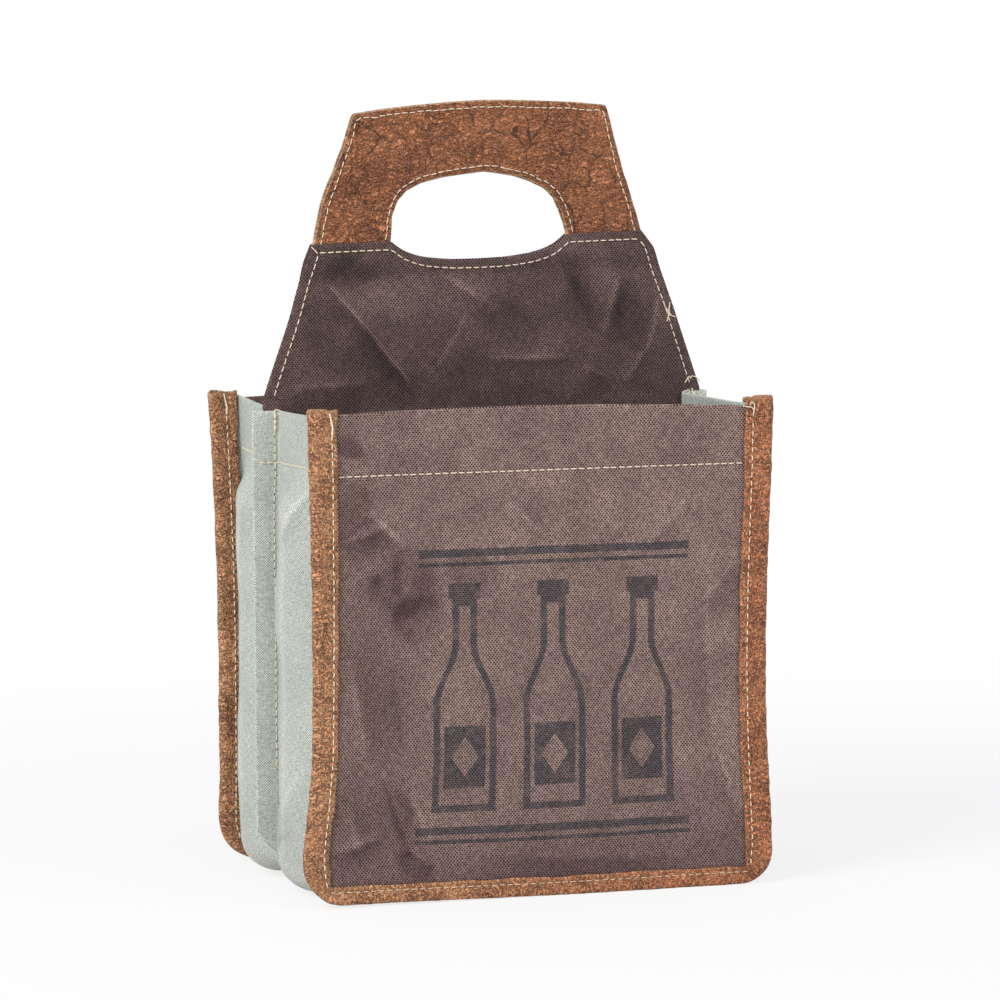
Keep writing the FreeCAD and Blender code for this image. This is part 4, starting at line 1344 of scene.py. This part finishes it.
    def sew_fin(self, sewing, step):
        """The row that shuts the fin on one face: thick at its start, knotted at its end."""
        last = int(np.argmin(np.abs(self.heights - KNOT_HEIGHT)))
        fin = [FOLD_COLUMN + step * offset for offset in range(TIP_POINTS, TIP_POINTS + FIN_POINTS)]
        out = np.abs(self.points[0, fin, 0] / self.points[0, FOLD_COLUMN, 0] * PLEAT_EDGE)
        nearest = fin[int(np.argmin(np.abs(out - FIN_STITCH_OUT)))]
        lean = self.normals[:last, nearest]
        line = self.points[:last, nearest] + lean * CANVAS / 2
        sewing.row(line, lean, thickness=0.8, holes=True)
        sewing.row(line[:START_ROWS], lean[:START_ROWS], START_PITCH, START_THICKNESS)
        up, inward = np.array([0, 0, 1.0]), np.array([-self.side, 0, 0])
        sewing.tail([line[1], line[0] + lean[0] * 0.6 + up * 0.9, line[0] + lean[0] * 0.5 + inward * 3])
        knot = line[-1] + lean[-1] * 0.3
        for way in (up + inward, up - inward, -up + inward, -up - inward):
            sewing.tail([knot - way * 0.3, knot + way * 0.5, knot + way * 1.1])


left_side = Side(-1, 41)
right_side = Side(1, 51)
left_side.make("left_side_cloth", "left_gusset")
right_side.make("right_side_cloth", "right_gusset")
left_side.sew("left_side_stitches", 61)
right_side.sew("right_side_stitches", 62)

# %% [markdown]
# ## Base
# The band goes on under the bottles. Its section is the one where the sides end, laid flat along X.

# %% Base
BASE_SPACING = 1.6
BASE_SAG = [(1.2, 35, 1), (0.48, 14, 1)]


def make_base():
    section = mirrored(band_section(1, 0, FIN_HALF_GAP - FOOT_GAP_DRAW, 1), [1, -1])
    across = evenly(-TURN_AXIS_OUT, TURN_AXIS_OUT, BASE_SPACING)
    long_way, depth = np.broadcast_arrays(across[:, None], section[:, 1])
    width = travelled(section)
    width = np.broadcast_to(width - width[FOLD_COLUMN], depth.shape)
    lobe = between(FROM_SEAM, LOBE_START - 2, LOBE_START + 8)
    ends = between(TURN_AXIS_OUT - np.abs(long_way), 0, 15)
    sag = lobe * ends * uneven(long_way, depth, BASE_SAG, 71)
    height = np.maximum(CORNER - (section[:, 0] - TURN_AXIS_OUT) * SHALLOW + sag, LOWEST)
    points = settled(np.stack([long_way, depth, height], axis=-1))
    flat = np.stack([width, long_way], axis=-1)
    piece = sheet_piece("base_cloth", points, flat, CANVAS, pale_canvas, flip=-1)
    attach(piece, "bag")
    cut = (float(np.ptp(width)), 2 * TURN_AXIS_OUT)
    dress(["base_panel"], cut)


make_base()

# %% [markdown]
# ## Bindings
# One strip of split leather, folded lengthwise over the seam, runs down one side, round the corner, along
# the foot and up the other side. A place on the flat strip is how far along it is and how far from the
# fold: near the fold the leather bends round, beyond it both legs lie on the cloth. The row of stitches
# draws it in, so it puffs up between the row and the fold.

# %% Binding route
BINDING_GAP = 0.95
BEND = BINDING_GAP + LEATHER / 2
BEND_REACH = BEND * math.pi / 2
FOLD_TAKE = BEND_REACH - BEND - LEATHER / 2
ROUTE_SPACING = 2
ROUTE_TURN = 25


def binding_route():
    """Stations along the folded edge: travel, place, inward direction and leg width."""
    side = evenly(BINDING_TOP, CORNER, ROUTE_SPACING)
    turn = np.linspace(0, math.pi / 2, ROUTE_TURN)[1:-1]
    foot = evenly(-TURN_AXIS_OUT, 0, ROUTE_SPACING)
    x = np.concatenate([np.full(len(side), -HALF_WIDTH), -TURN_AXIS_OUT - CORNER * np.cos(turn), foot])
    z = np.concatenate([side, CORNER - CORNER * np.sin(turn), np.zeros(len(foot))])
    inward_x = np.concatenate([np.ones(len(side)), np.cos(turn), np.zeros(len(foot))])
    inward_z = np.concatenate([np.zeros(len(side)), np.sin(turn), np.ones(len(foot))])
    whole = mirrored(np.stack([x, z, inward_x, inward_z], axis=1), [-1, 1, -1, 1])
    legs = [np.interp(whole[:, 1], LEG_HEIGHTS, LEG_WIDTHS[hand]) for hand in (-1, 1)]
    side_band = np.abs(whole[:, 0]) - HALF_WIDTH + np.where(whole[:, 0] < 0, *legs)
    inward = np.maximum(np.abs(whole[:, 2:]), 1e-6)
    leg = np.maximum(side_band / inward[:, 0], (FOOT_LEG_WIDTH - whole[:, 1]) / inward[:, 1])
    return travelled(whole[:, :2]), np.column_stack([whole, leg])


ROUTE_TRAVEL, ROUTE = binding_route()
ROUTE_LENGTH = float(ROUTE_TRAVEL[-1])
print(f"binding length {ROUTE_LENGTH:.1f}")

# %% [markdown]
# The strip itself, with both legs cut by hand, and its row of stitches. The row is thick down the sides and
# sinks in along the foot, and a double thread goes over each end.

# %% Bindings
STITCH_FROM_FOLD = {-1: 10.0, 1: 7.2}
STITCH_FROM_CUT = 2.2
BINDING_STITCH_SHARE = 0.84
FOOT_STITCH_THICKNESS = 0.55
ROW_CORNER = BINDING_TOP - CORNER + 0.3 * CORNER * math.pi
BACK_TOP_DROP = 1.3
DROP_REACH = 60
STRAY_REACH = 9
RAW_FROM, RAW_FULL = 2.4, 0.2
BINDING_SPACING = 1.3
CRUMPLES = [(0.22, 3.6, 0.3), (0.2, 11, 0.6)]
LEAST_PUFF = 0.02
ROW_ENDS = 10
DOUBLE_THREAD_RADIUS = 0.42
DOUBLE_THREAD_WAVE = np.array([(-0.7, 0, 0), (-0.1, 0, 0), (0.5, 0, 0), (0.1, 0, 0)])
RIGHT_END_CURLS = [
    [(0, 0.3, -1.5), (0.3, -0.2, 1.2), (-1.2, -0.7, 2.6), (-3.2, -0.7, 2.7), (-5.2, -0.4, 3.1)],
    [(0, 0.3, -1.5), (0.4, -0.2, 1.5), (0.4, -0.8, 3.6),
     (-0.8, -1.0, 4.8), (-1.7, -0.7, 4.2), (-1.4, -0.4, 3.4)],
]


def leg_width(travel):
    return np.interp(travel, ROUTE_TRAVEL, ROUTE[:, 4])


def from_end(travel):
    return np.minimum(travel, ROUTE_LENGTH - travel)


class Binding(Pair):
    """A folded leather strip on one seam."""

    def cut_edge(self, travel, leg_side):
        """How far the cut edge lies from the fold along the leather, ragged by hand cutting."""
        ragged = 0.45 * lumps(travel, leg_side * 40 + travel * 0, 11, self.seed)
        ragged = ragged + 0.15 * lumps(travel, travel * 0, 3, 5)
        return leg_width(travel) + FOLD_TAKE + ragged

    def stitch_width(self, travel):
        """How far the row of stitches lies from the fold along the leather."""
        return np.minimum(STITCH_FROM_FOLD[self.side], leg_width(travel) - STITCH_FROM_CUT) + FOLD_TAKE

    def puff(self, travel, width):
        """How far the leather stands off the cloth: drawn in by the stitches, plump towards the fold."""
        from_row = self.stitch_width(travel) - np.abs(width)
        row = bell(from_row, 1.1)
        crumple = uneven(travel, width, CRUMPLES, self.seed + 1)
        swell = 0.28 * between(from_row, 0, 3)
        return np.maximum(0.06 + swell + crumple * (1 - 0.7 * row) - 0.1 * row, LEAST_PUFF)

    def surface(self, travel, width):
        """A place on the leather's middle: width is 0 at the fold and grows on the outer leg."""
        travel, width = np.broadcast_arrays(np.asarray(travel, float), width)
        x, z, inward_x, inward_z, _ = parts_at(travel, ROUTE_TRAVEL, ROUTE)
        angle = np.clip(width / BEND, -math.pi / 2, math.pi / 2)
        beyond = np.maximum(np.abs(width) - BEND_REACH, 0)
        radius = BEND + self.puff(travel, width)
        inset = BEND + LEATHER / 2 - radius * np.cos(angle) + beyond
        depth = BINDING_PLANE + radius * np.sin(angle)
        end = from_end(travel)
        stray = between(end, STRAY_REACH, 0) * (0.9 * lumps(width, travel * 0, 2.5, self.seed + 3) + 0.3)
        drop = (BACK_TOP_DROP if self.side > 0 else 0) * between(end, DROP_REACH, 0)
        height = np.maximum(z + inward_z * inset + stray - drop, LEATHER / 2)
        return settled(np.stack([x + inward_x * inset, self.side * depth, height], axis=-1))

    def make(self, name, node, wall):
        travel = evenly(0, ROUTE_LENGTH, BINDING_SPACING)[:, None]
        arc = np.linspace(-1, 1, 11) * BEND_REACH
        leg = np.linspace(0, 1, 10)[1:]
        outer, inner = (BEND_REACH + (self.cut_edge(travel, hand) - BEND_REACH) * leg for hand in (1, -1))
        fold = np.broadcast_to(arc, (len(travel), len(arc)))
        width = np.concatenate([-inner[:, ::-1], fold, outer], axis=1)
        long_way = np.broadcast_to(travel, width.shape)
        points = self.surface(long_way, width)
        flat = np.stack([width, long_way], axis=-1)
        raw = between(from_end(long_way), RAW_FROM, RAW_FULL)
        raw = raw * (0.75 + 0.25 * lumps(width, long_way, 2, self.seed))
        piece = sheet_piece(name, points, flat, LEATHER, split_leather, raw, flip=self.side)
        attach(piece, "bag")
        cut = (2 * (LEG_WIDTH + FOLD_TAKE), ROUTE_LENGTH)
        dress([node], cut)

    def sew(self, name, seed):
        """A row through both legs, with thick double thread over the two ends."""
        sewing = Sewing(seed)
        travel = evenly(0.6, ROUTE_LENGTH - 0.6, LINE_SPACING)
        first, last = np.searchsorted(travel, [ROW_CORNER, ROUTE_LENGTH - ROW_CORNER])
        parts = slice(ROW_ENDS, first), slice(first, last), slice(last, -ROW_ENDS)
        for leg_side in (1, -1):
            route = np.stack([travel, leg_side * self.stitch_width(travel)], axis=1)
            line, lean = line_on(self.surface, route, 1, 0)
            lean = lean * np.sign(lean[len(lean) // 2, 1] * self.side * leg_side)
            line = line + lean * LEATHER / 2
            for part, thickness in zip(parts, (1, FOOT_STITCH_THICKNESS, 1)):
                sewing.row(line[part], lean[part], thickness=thickness, sunk=BINDING_STITCH_SHARE)
            ends = [slice(0, 13, 4), slice(-1, -14, -4)]
            if self.side < 0 and leg_side > 0:
                ends.pop()
                for curl in RIGHT_END_CURLS:
                    sewing.tail(line[-8] + lean[-8] * 0.3 + np.array(curl))
            for end in ends:
                sewing.tail(line[end] + lean[end] * 0.25 + DOUBLE_THREAD_WAVE, DOUBLE_THREAD_RADIUS)
        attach(sewing.piece(name), "bag")


front_binding = Binding(-1, 81)
back_binding = Binding(1, 91)
front_binding.make("front_binding_strip", "front_binding", "front_panel")
back_binding.make("back_binding_strip", "back_binding", "back_panel")
front_binding.sew("front_binding_stitches", 101)
back_binding.sew("back_binding_stitches", 102)

# %% [markdown]
# ## Carrying panel
# Two layers of canvas, sewn into the side pleats below the rim and free above it. Each layer is one cloth
# from the bottom of the divider to the handle, so it is one sheet here, shaped over the rim and tied to
# neither body. Its top edge dips below the hand hole, and its side edges slope in to the handle's feet.

# %% Carrying panel sizes
CARRY_SPACING = 1.3
CARRY_HEIGHTS = [CARRY_FOOT, RIM + 1, 260, 285, CANVAS_TOP]
CARRY_WIDTHS = {
    -1: [CARRY_HALF_WIDTH, CARRY_HALF_WIDTH - 0.8, 90.9, 82.6, 79.2],
    1: [CARRY_HALF_WIDTH, CARRY_HALF_WIDTH - 1.4, 91.9, 83.8, 78.5],
}
LIP_PLACES = [0, 12, 18, 25, 30, 33.7, 36.5, 38.5, 40, 41.2, 42.5, 90]
LIP_HEIGHTS = [282.8, 283.0, 283.5, 284.4, 285.5, 286.8, 288.1, 289.4, 290.5, 291.5, CANVAS_TOP, CANVAS_TOP]
LAYER_DEPTH = 0.45
FOOT_DEPTH = canvas_high[1] - CANVAS / 2
FOOT_START = LEATHER_FOOT - 9.5
CARRY_SWAY = [(2.0, 52, 1), (1.3, 21, 1)]
DIVIDER_SWAY = [(1.2, 60, 1)]
SWAY_SEED = 111
SWAY_HEIGHTS = RIM - 30, RIM + 22
TONE_HEIGHTS = RIM - 30, RIM
LIP_STIFFNESS = 0.6
STIFF_HEIGHTS = 272, 288
EDGE_SWAY = 0.25
LIP_ROW_END = 78
CARRY_STITCH_IN = 3.7
EDGE_STITCH_IN = CARRY_STITCH_IN + 0.6
LOOSE_ENDS = [
    [(90.4, 253.6, 0), (89.8, 256, 0.5), (88.2, 257.8, 0.6)],
    [(90.4, 253.6, 0), (90.2, 256.6, 0.7), (90.8, 259.6, 0.8)],
    [(90.4, 255.6, 0), (91, 253.8, 0.6), (93.4, 253, 0.6)],
    [(90.4, 255.6, 0), (89.8, 253.4, 0.5), (89, 251.2, 0.5)],
    [(100.2, 225, 0), (99.8, 226.4, 0.5), (98.6, 225.4, 0.7), (97.2, 223.4, 0.7)],
    [(100.2, 225, 0), (100.6, 226.4, 0.6), (102.6, 226, 0.8), (104.8, 223.6, 0.7)],
    [(99.8, 221, 2.8), (100.3, 218.6, 3.4), (100, 214, 3.6), (100.2, 211, 3.4)],
    [(100.4, 213.6, 3.4), (102, 216.6, 3.6), (104, 217.6, 3.6), (106.4, 219.2, 3.2)],
    [(-77.4, 288.6, 0.2), (-78.6, 290, 0.5), (-80.2, 291.6, 0.4)],
]
CARRY_CREASES = [
    ((-74, 276), (-34, 225), 1.7, 2.4, 0.8, 0.75),
    ((-54, 288), (-73, 273), 2.6, 1.2, 0.1, 0.7),
    ((-8, 257), (-23, 234), 1.8, 1.8, 0.6, 0.4),
    ((67, 273), (58, 246), 2.2, 2.0, 0.7, -0.75),
    ((85, 263), (78, 238), 2.2, 1.8, 0.8, 0.5),
    ((79, 240), (67, 224), 2.2, 1.4, 0.6, -0.3),
    ((2, 237), (42, 237), 1.7, 1.2, 0.5, 0.6),
    ((36, 284), (53, 246), 2.8, -1.4, 0.1, -0.7),
    ((-92, 226), (-56, 228), 2.6, 0.8, 0.6, 0.2),
    ((-20, 278), (8, 258), 2.8, 1.2, 0.4, 0.3),
    ((14, 262), (30, 246), 2.8, -1.0, -0.4, 0.4),
    ((48, 232), (62, 226), 2.4, 1.0, 0.4, 0.3),
]
# Dark spots are partly stains and partly painted shade on shaded facets; those of negative depth are painted
# light on lit facets.
CARRY_STAINS_LIGHT_AND_SHADE = [
    ((-62, 280), (9, 6), 0.5),
    ((-78, 258), (10, 12), 0.5),
    ((-58, 238), (14, 10), 0.55),
    ((-44, 228), (9, 6), 0.5),
    ((6, 254), (11, 8), 0.4),
    ((48, 260), (7, 12), 0.4),
    ((73, 254), (7, 12), 0.5),
    ((90, 236), (8, 14), 0.4),
    # A long dark band just above the rim: painted shade.
    ((10, 221), (120, 5), 0.4),
    ((-44, 266), (16, 10), -0.45),
    ((-12, 266), (14, 9), -0.3),
    ((58, 268), (6, 12), -0.35),
    ((44, 288), (16, 5), -0.3),
]
print(f"carrying panel from {CARRY_FOOT:.1f} to {CANVAS_TOP:.1f}")

# %% [markdown]
# Both layers sway together, and part only where the handle's feet go in between them.

# %% Carrying panel
def carry_half_width(height, across):
    """Half the panel's width, which differs a little on its two hands."""
    left, right = (np.interp(height, CARRY_HEIGHTS, CARRY_WIDTHS[hand]) for hand in (-1, 1))
    return np.where(np.asarray(across) < 0, left, right)


def lip_height(across):
    return np.interp(np.abs(across), LIP_PLACES, LIP_HEIGHTS)


def carry_sway(across, height):
    """How far the whole panel bends out of its plane, and its tone from creases and spots, with their
    painted light and shade.
    """
    sides = between(carry_half_width(height, across) - np.abs(across), -2, 25)
    slack = 1 - LIP_STIFFNESS * between(height, *STIFF_HEIGHTS)
    free = between(height, *SWAY_HEIGHTS) * (EDGE_SWAY + (1 - EDGE_SWAY) * sides) * slack
    below = between(height, CARRY_FOOT, CARRY_FOOT + 40) * between(RIM - height, -10, 40) * sides
    lift, tone = crease_marks(across, height, CARRY_CREASES, CARRY_STAINS_LIGHT_AND_SHADE)
    sway = free * (uneven(across, height, CARRY_SWAY, SWAY_SEED) - lift)
    sway = sway + below * uneven(across, height, DIVIDER_SWAY, SWAY_SEED + 2)
    return sway, tone * between(height, *TONE_HEIGHTS)


def bend(piece):
    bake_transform(piece)


class Layer(Pair):
    """One canvas layer of the carrying panel."""

    def surface(self, across, height):
        across, height = np.broadcast_arrays(np.asarray(across, float), height)
        apart = LAYER_DEPTH + (FOOT_DEPTH - LAYER_DEPTH) * between(height, FOOT_START, LEATHER_FOOT)
        sway, _ = carry_sway(across, height)
        return carried(np.stack([across, sway + self.side * apart, height], axis=-1))

    def make(self, name, nodes):
        share = np.linspace(-1, 1, int(2 * CARRY_HALF_WIDTH / CARRY_SPACING))[None, :]
        rise = np.linspace(0, 1, int((CANVAS_TOP - CARRY_FOOT) / CARRY_SPACING))[:, None]
        height = CARRY_FOOT + rise * (CANVAS_TOP - CARRY_FOOT) + 0 * share
        for _ in range(5):
            across = share * carry_half_width(height, share)
            height = CARRY_FOOT + rise * (lip_height(across) - CARRY_FOOT)
        points = self.surface(across, height)
        pale = carry_sway(across, height)[1]
        flat = np.stack([across, height], axis=-1)
        piece = sheet_piece(name, points, flat, CANVAS, handle_canvas, pale, flip=-self.side)
        bend(piece)
        cut = (2 * CARRY_HALF_WIDTH, CANVAS_TOP - CARRY_FOOT)
        dress(nodes, cut)

    def sew(self, name, seed):
        sewing = Sewing(seed)
        lip = np.arange(-LIP_ROW_END, LIP_ROW_END + 0.1, 2)
        heights = evenly(RIM + 2, CANVAS_TOP - 4, 3)
        routes = [(lip, lip_height(lip) - CARRY_STITCH_IN)]
        routes += [(hand * (carry_half_width(heights, hand) - EDGE_STITCH_IN), heights) for hand in (-1, 1)]
        for route in routes:
            sewing.row(*line_on(self.surface, np.stack(route, axis=1), self.side))
        for route in LOOSE_ENDS if self.side < 0 else []:
            across, height, off = np.transpose(route)
            points = self.surface(across, height)
            points[:, 1] += self.side * (CANVAS / 2 + off)
            sewing.tail(points)
        bend(sewing.piece(name))


front_layer = Layer(-1)
back_layer = Layer(1)
front_layer.make("front_carry_cloth", ["divider_front", "handle_canvas_front"])
back_layer.make("back_carry_cloth", ["divider_back", "handle_canvas_back"])
front_layer.sew("front_carry_stitches", 121)
back_layer.sew("back_carry_stitches", 122)

# %% [markdown]
# ## Handle leathers
# Two arches of thick leather, back to back, with their feet between the canvas layers. An arch is a strip
# that bends: a grid whose rows run from the edge of the hand hole to the outer edge.

# %% Arch edges
ARCH_FOOT_OUT = 80.5
HOLE_LINE = [
    (43, LEATHER_FOOT), (42.4, 292.6), (41.6, 298.5), (40.6, 303.3), (37.6, 309.8),
    (33.2, 314.2), (26, 317.5), (17.4, 320), (6.5, 322), (0, 322.9),
]
OUTER_LINE = [
    (ARCH_FOOT_OUT, LEATHER_FOOT), (78.5, 292), (74.3, 311), (69.2, 323), (64.5, 336),
    (60.4, 350.5), (45, 352.3), (30, 353.4), (14, 354.3), (0, 354.7),
]
HOLE_CORNER = 4
OUTER_CORNER = 5
FOOT_POINTS = 90
TOP_POINTS = 85
ACROSS_POINTS = 48


def arch_edge(line, corner):
    """An arch's edge from half of it, with the same number of points before the corner on each edge."""
    travel = travelled(np.array(line, float))
    places = np.concatenate([
        np.linspace(0, travel[corner], FOOT_POINTS, endpoint=False),
        np.linspace(travel[corner], travel[-1], TOP_POINTS),
    ])
    return eased(mirrored(points_at(places, travel, line), [-1, 1]), 5)[::-1]


HOLE_EDGE = arch_edge(HOLE_LINE, HOLE_CORNER)
OUTER_EDGE = arch_edge(OUTER_LINE, OUTER_CORNER)
ARCH_TRAVEL = travelled((HOLE_EDGE + OUTER_EDGE) / 2)
print(f"arch length {ARCH_TRAVEL[-1]:.1f}")

# %% [markdown]
# The hand has pulled the leather a little out of true: the hole leans to the left, and its left shoulder
# stands higher. Small bumps stand out of each face where the leather is free of the canvas.

# %% Handle leathers
HOLE_SHIFT, SHIFT_HEIGHTS = 1.1, (294, 306)
PEAK_SHIFT, PEAK_HEIGHTS = 2.8, (316, 322)
SHOULDER_RISE, SHOULDER_HEIGHTS, SHOULDER_OUT = 1.4, (298, 310), 25
ARCH_BUMPS = [(0.8, 10), (0.55, 4.5), (0.3, 2.2)]
HALF_APART = 0.05
HOLE_STITCH_IN = 2.4
OUTER_STITCH_IN = 2.8
ARCH_STITCH_THICKNESS = 0.82


class Arch(Pair):
    """One handle leather."""

    def surface(self, travel, share):
        """A place on the leather's middle: share is 0 at the hand hole and 1 at the outer edge."""
        travel, share = np.broadcast_arrays(np.asarray(travel, float), share)
        hole_x, hole_z = parts_at(travel, ARCH_TRAVEL, HOLE_EDGE)
        outer_x, outer_z = parts_at(travel, ARCH_TRAVEL, OUTER_EDGE)
        left_shoulder = between(-hole_x, 0, SHOULDER_OUT) * between(hole_z, *SHOULDER_HEIGHTS)
        hole_x = hole_x - HOLE_SHIFT * between(hole_z, *SHIFT_HEIGHTS)
        hole_x = hole_x + PEAK_SHIFT * between(hole_z, *PEAK_HEIGHTS)
        hole_z = hole_z + SHOULDER_RISE * left_shoulder
        x = hole_x + (outer_x - hole_x) * share
        z = hole_z + (outer_z - hole_z) * share
        free = between(z, CANVAS_TOP - 1, CANVAS_TOP + 9)
        bumps = sum(height * np.abs(lumps(x, z, distance, self.seed + number))
                    for number, (height, distance) in enumerate(ARCH_BUMPS))
        sway, _ = carry_sway(x, np.minimum(z, CANVAS_TOP))
        depth = self.side * (HALF_APART + LEATHER / 2 + free * bumps) + sway
        return carried(np.stack([x, depth, z], axis=-1))

    def make(self, name, node):
        points = self.surface(ARCH_TRAVEL[:, None], np.linspace(0, 1, ACROSS_POINTS)[None, :])
        flat = np.stack([points[..., 0], points[..., 2]], axis=-1)
        piece = sheet_piece(name, points, flat, LEATHER, crumpled_leather, flip=-self.side)
        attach(piece, "handle")
        cut = (2 * ARCH_FOOT_OUT, HANDLE_TOP - LEATHER_FOOT)
        dress([node], cut)

    def sew(self, name, seed):
        """A row along the hand hole and one along the outer edge, from canvas to canvas."""
        sewing = Sewing(seed)
        width = np.hypot(*(OUTER_EDGE - HOLE_EDGE).T)
        shares = HOLE_STITCH_IN / width, 1 - OUTER_STITCH_IN / width
        for edge, share in zip((HOLE_EDGE, OUTER_EDGE), shares):
            start = int(np.argmax(edge[:, 1] > CANVAS_TOP - 1.5))
            rows = slice(start, len(width) - start)
            points = self.surface(ARCH_TRAVEL[rows], share[rows])
            across = self.surface(ARCH_TRAVEL[rows], share[rows] + 0.01) - points
            lean = unit(np.cross(np.gradient(points, axis=0), across))
            lean = lean * np.sign(lean[:, 1:2] * self.side)
            sewing.row(points + lean * LEATHER / 2, lean, thickness=ARCH_STITCH_THICKNESS)
        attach(sewing.piece(name), "handle")


front_arch = Arch(-1, 131)
back_arch = Arch(1, 141)
front_arch.make("front_handle_skin", "handle_leather_front")
back_arch.make("back_handle_skin", "handle_leather_back")
front_arch.sew("front_handle_stitches", 151)
back_arch.sew("back_handle_stitches", 152)

# %% [markdown]
# ## Table and light
# A plain pale table, a large soft light high on the left, a weaker one on the right, and a white
# surround that the camera sees as the background.

# %% Table and light
FLOOR_SIZE = 8.0
FLOOR_WHITE = (0.88, 0.88, 0.88, 1)
NEAR_FLOOR = 0.35
FAR_FLOOR = 0.9
FLOOR_GLOW = 0.79
LIGHT_AIM = (0, 0, 0.15)
SURROUND = 0.55


def seen_rays(tree):
    """1 for rays that the camera sees, directly, in a reflection or through something."""
    path = Wire.make(tree, "ShaderNodeLightPath", {}, {}, "Is Camera Ray")
    outputs = path.socket.node.outputs
    reflected = path.math("MAXIMUM", Wire(tree, outputs["Is Glossy Ray"]))
    return reflected.math("MAXIMUM", Wire(tree, outputs["Is Transmission Ray"]))


def make_floor():
    """A white table whose own light, as the camera sees it, brings it up to the white of the surround."""
    half = FLOOR_SIZE / 2
    corners = [(-half, -half, 0), (half, -half, 0), (half, half, 0), (-half, half, 0)]
    mesh = bpy.data.meshes.new("table")
    mesh.from_pydata(corners, [], [(0, 1, 2, 3)])
    floor = bpy.data.objects.new("table", mesh)
    bpy.context.scene.collection.objects.link(floor)
    material, tree, shader, _ = new_finish("table_white", Roughness=0.9, Specular_IOR_Level=0.1)
    shader.inputs["Base Color"].default_value = FLOOR_WHITE
    place = Wire.make(tree, "ShaderNodeNewGeometry", {}, {}, "Position")
    away = Wire.make(tree, "ShaderNodeVectorMath", {"operation": "LENGTH"}, {0: place}, "Value")
    glow = seen_rays(tree) * (FLOOR_GLOW + (1 - FLOOR_GLOW) * away.step(NEAR_FLOOR, FAR_FLOOR))
    white = Wire.make(tree, "ShaderNodeEmission", {}, {"Color": (1, 1, 1), "Strength": 1})
    lit = Wire(tree, shader.outputs[0])
    both = Wire.make(tree, "ShaderNodeMixShader", {}, {0: glow, 1: lit, 2: white})
    tree.links.new(both.socket, tree.nodes["Material Output"].inputs["Surface"])
    mesh.materials.append(material)


def make_light(name, place, size, power, colour):
    lamp = bpy.data.lights.new(name, "AREA")
    lamp.shape = "DISK"
    lamp.size = size
    lamp.energy = power
    lamp.color = colour
    light = bpy.data.objects.new(name, lamp)
    bpy.context.scene.collection.objects.link(light)
    light.location = place
    light.rotation_euler = (Vector(LIGHT_AIM) - Vector(place)).to_track_quat("-Z", "Y").to_euler()


def make_surround(strength):
    world = bpy.data.worlds.new("surround")
    bpy.context.scene.world = world
    world.use_nodes = True
    tree = world.node_tree
    tree.nodes.clear()
    level = strength + seen_rays(tree) * (1 - strength)
    background = Wire.make(tree, "ShaderNodeBackground", {}, {"Color": (1, 1, 1), "Strength": level})
    output = tree.nodes.new("ShaderNodeOutputWorld")
    tree.links.new(background.socket, output.inputs["Surface"])


make_floor()
make_light("key", (-2.1, -1.3, 1.7), 1.5, 62, (1, 0.992, 0.98))
make_light("fill", (1.7, -1.8, 1.0), 1.8, 15, (0.97, 0.985, 1))
make_surround(SURROUND)
bpy.context.scene.view_settings.view_transform = "Standard"
print("table and lights ready")
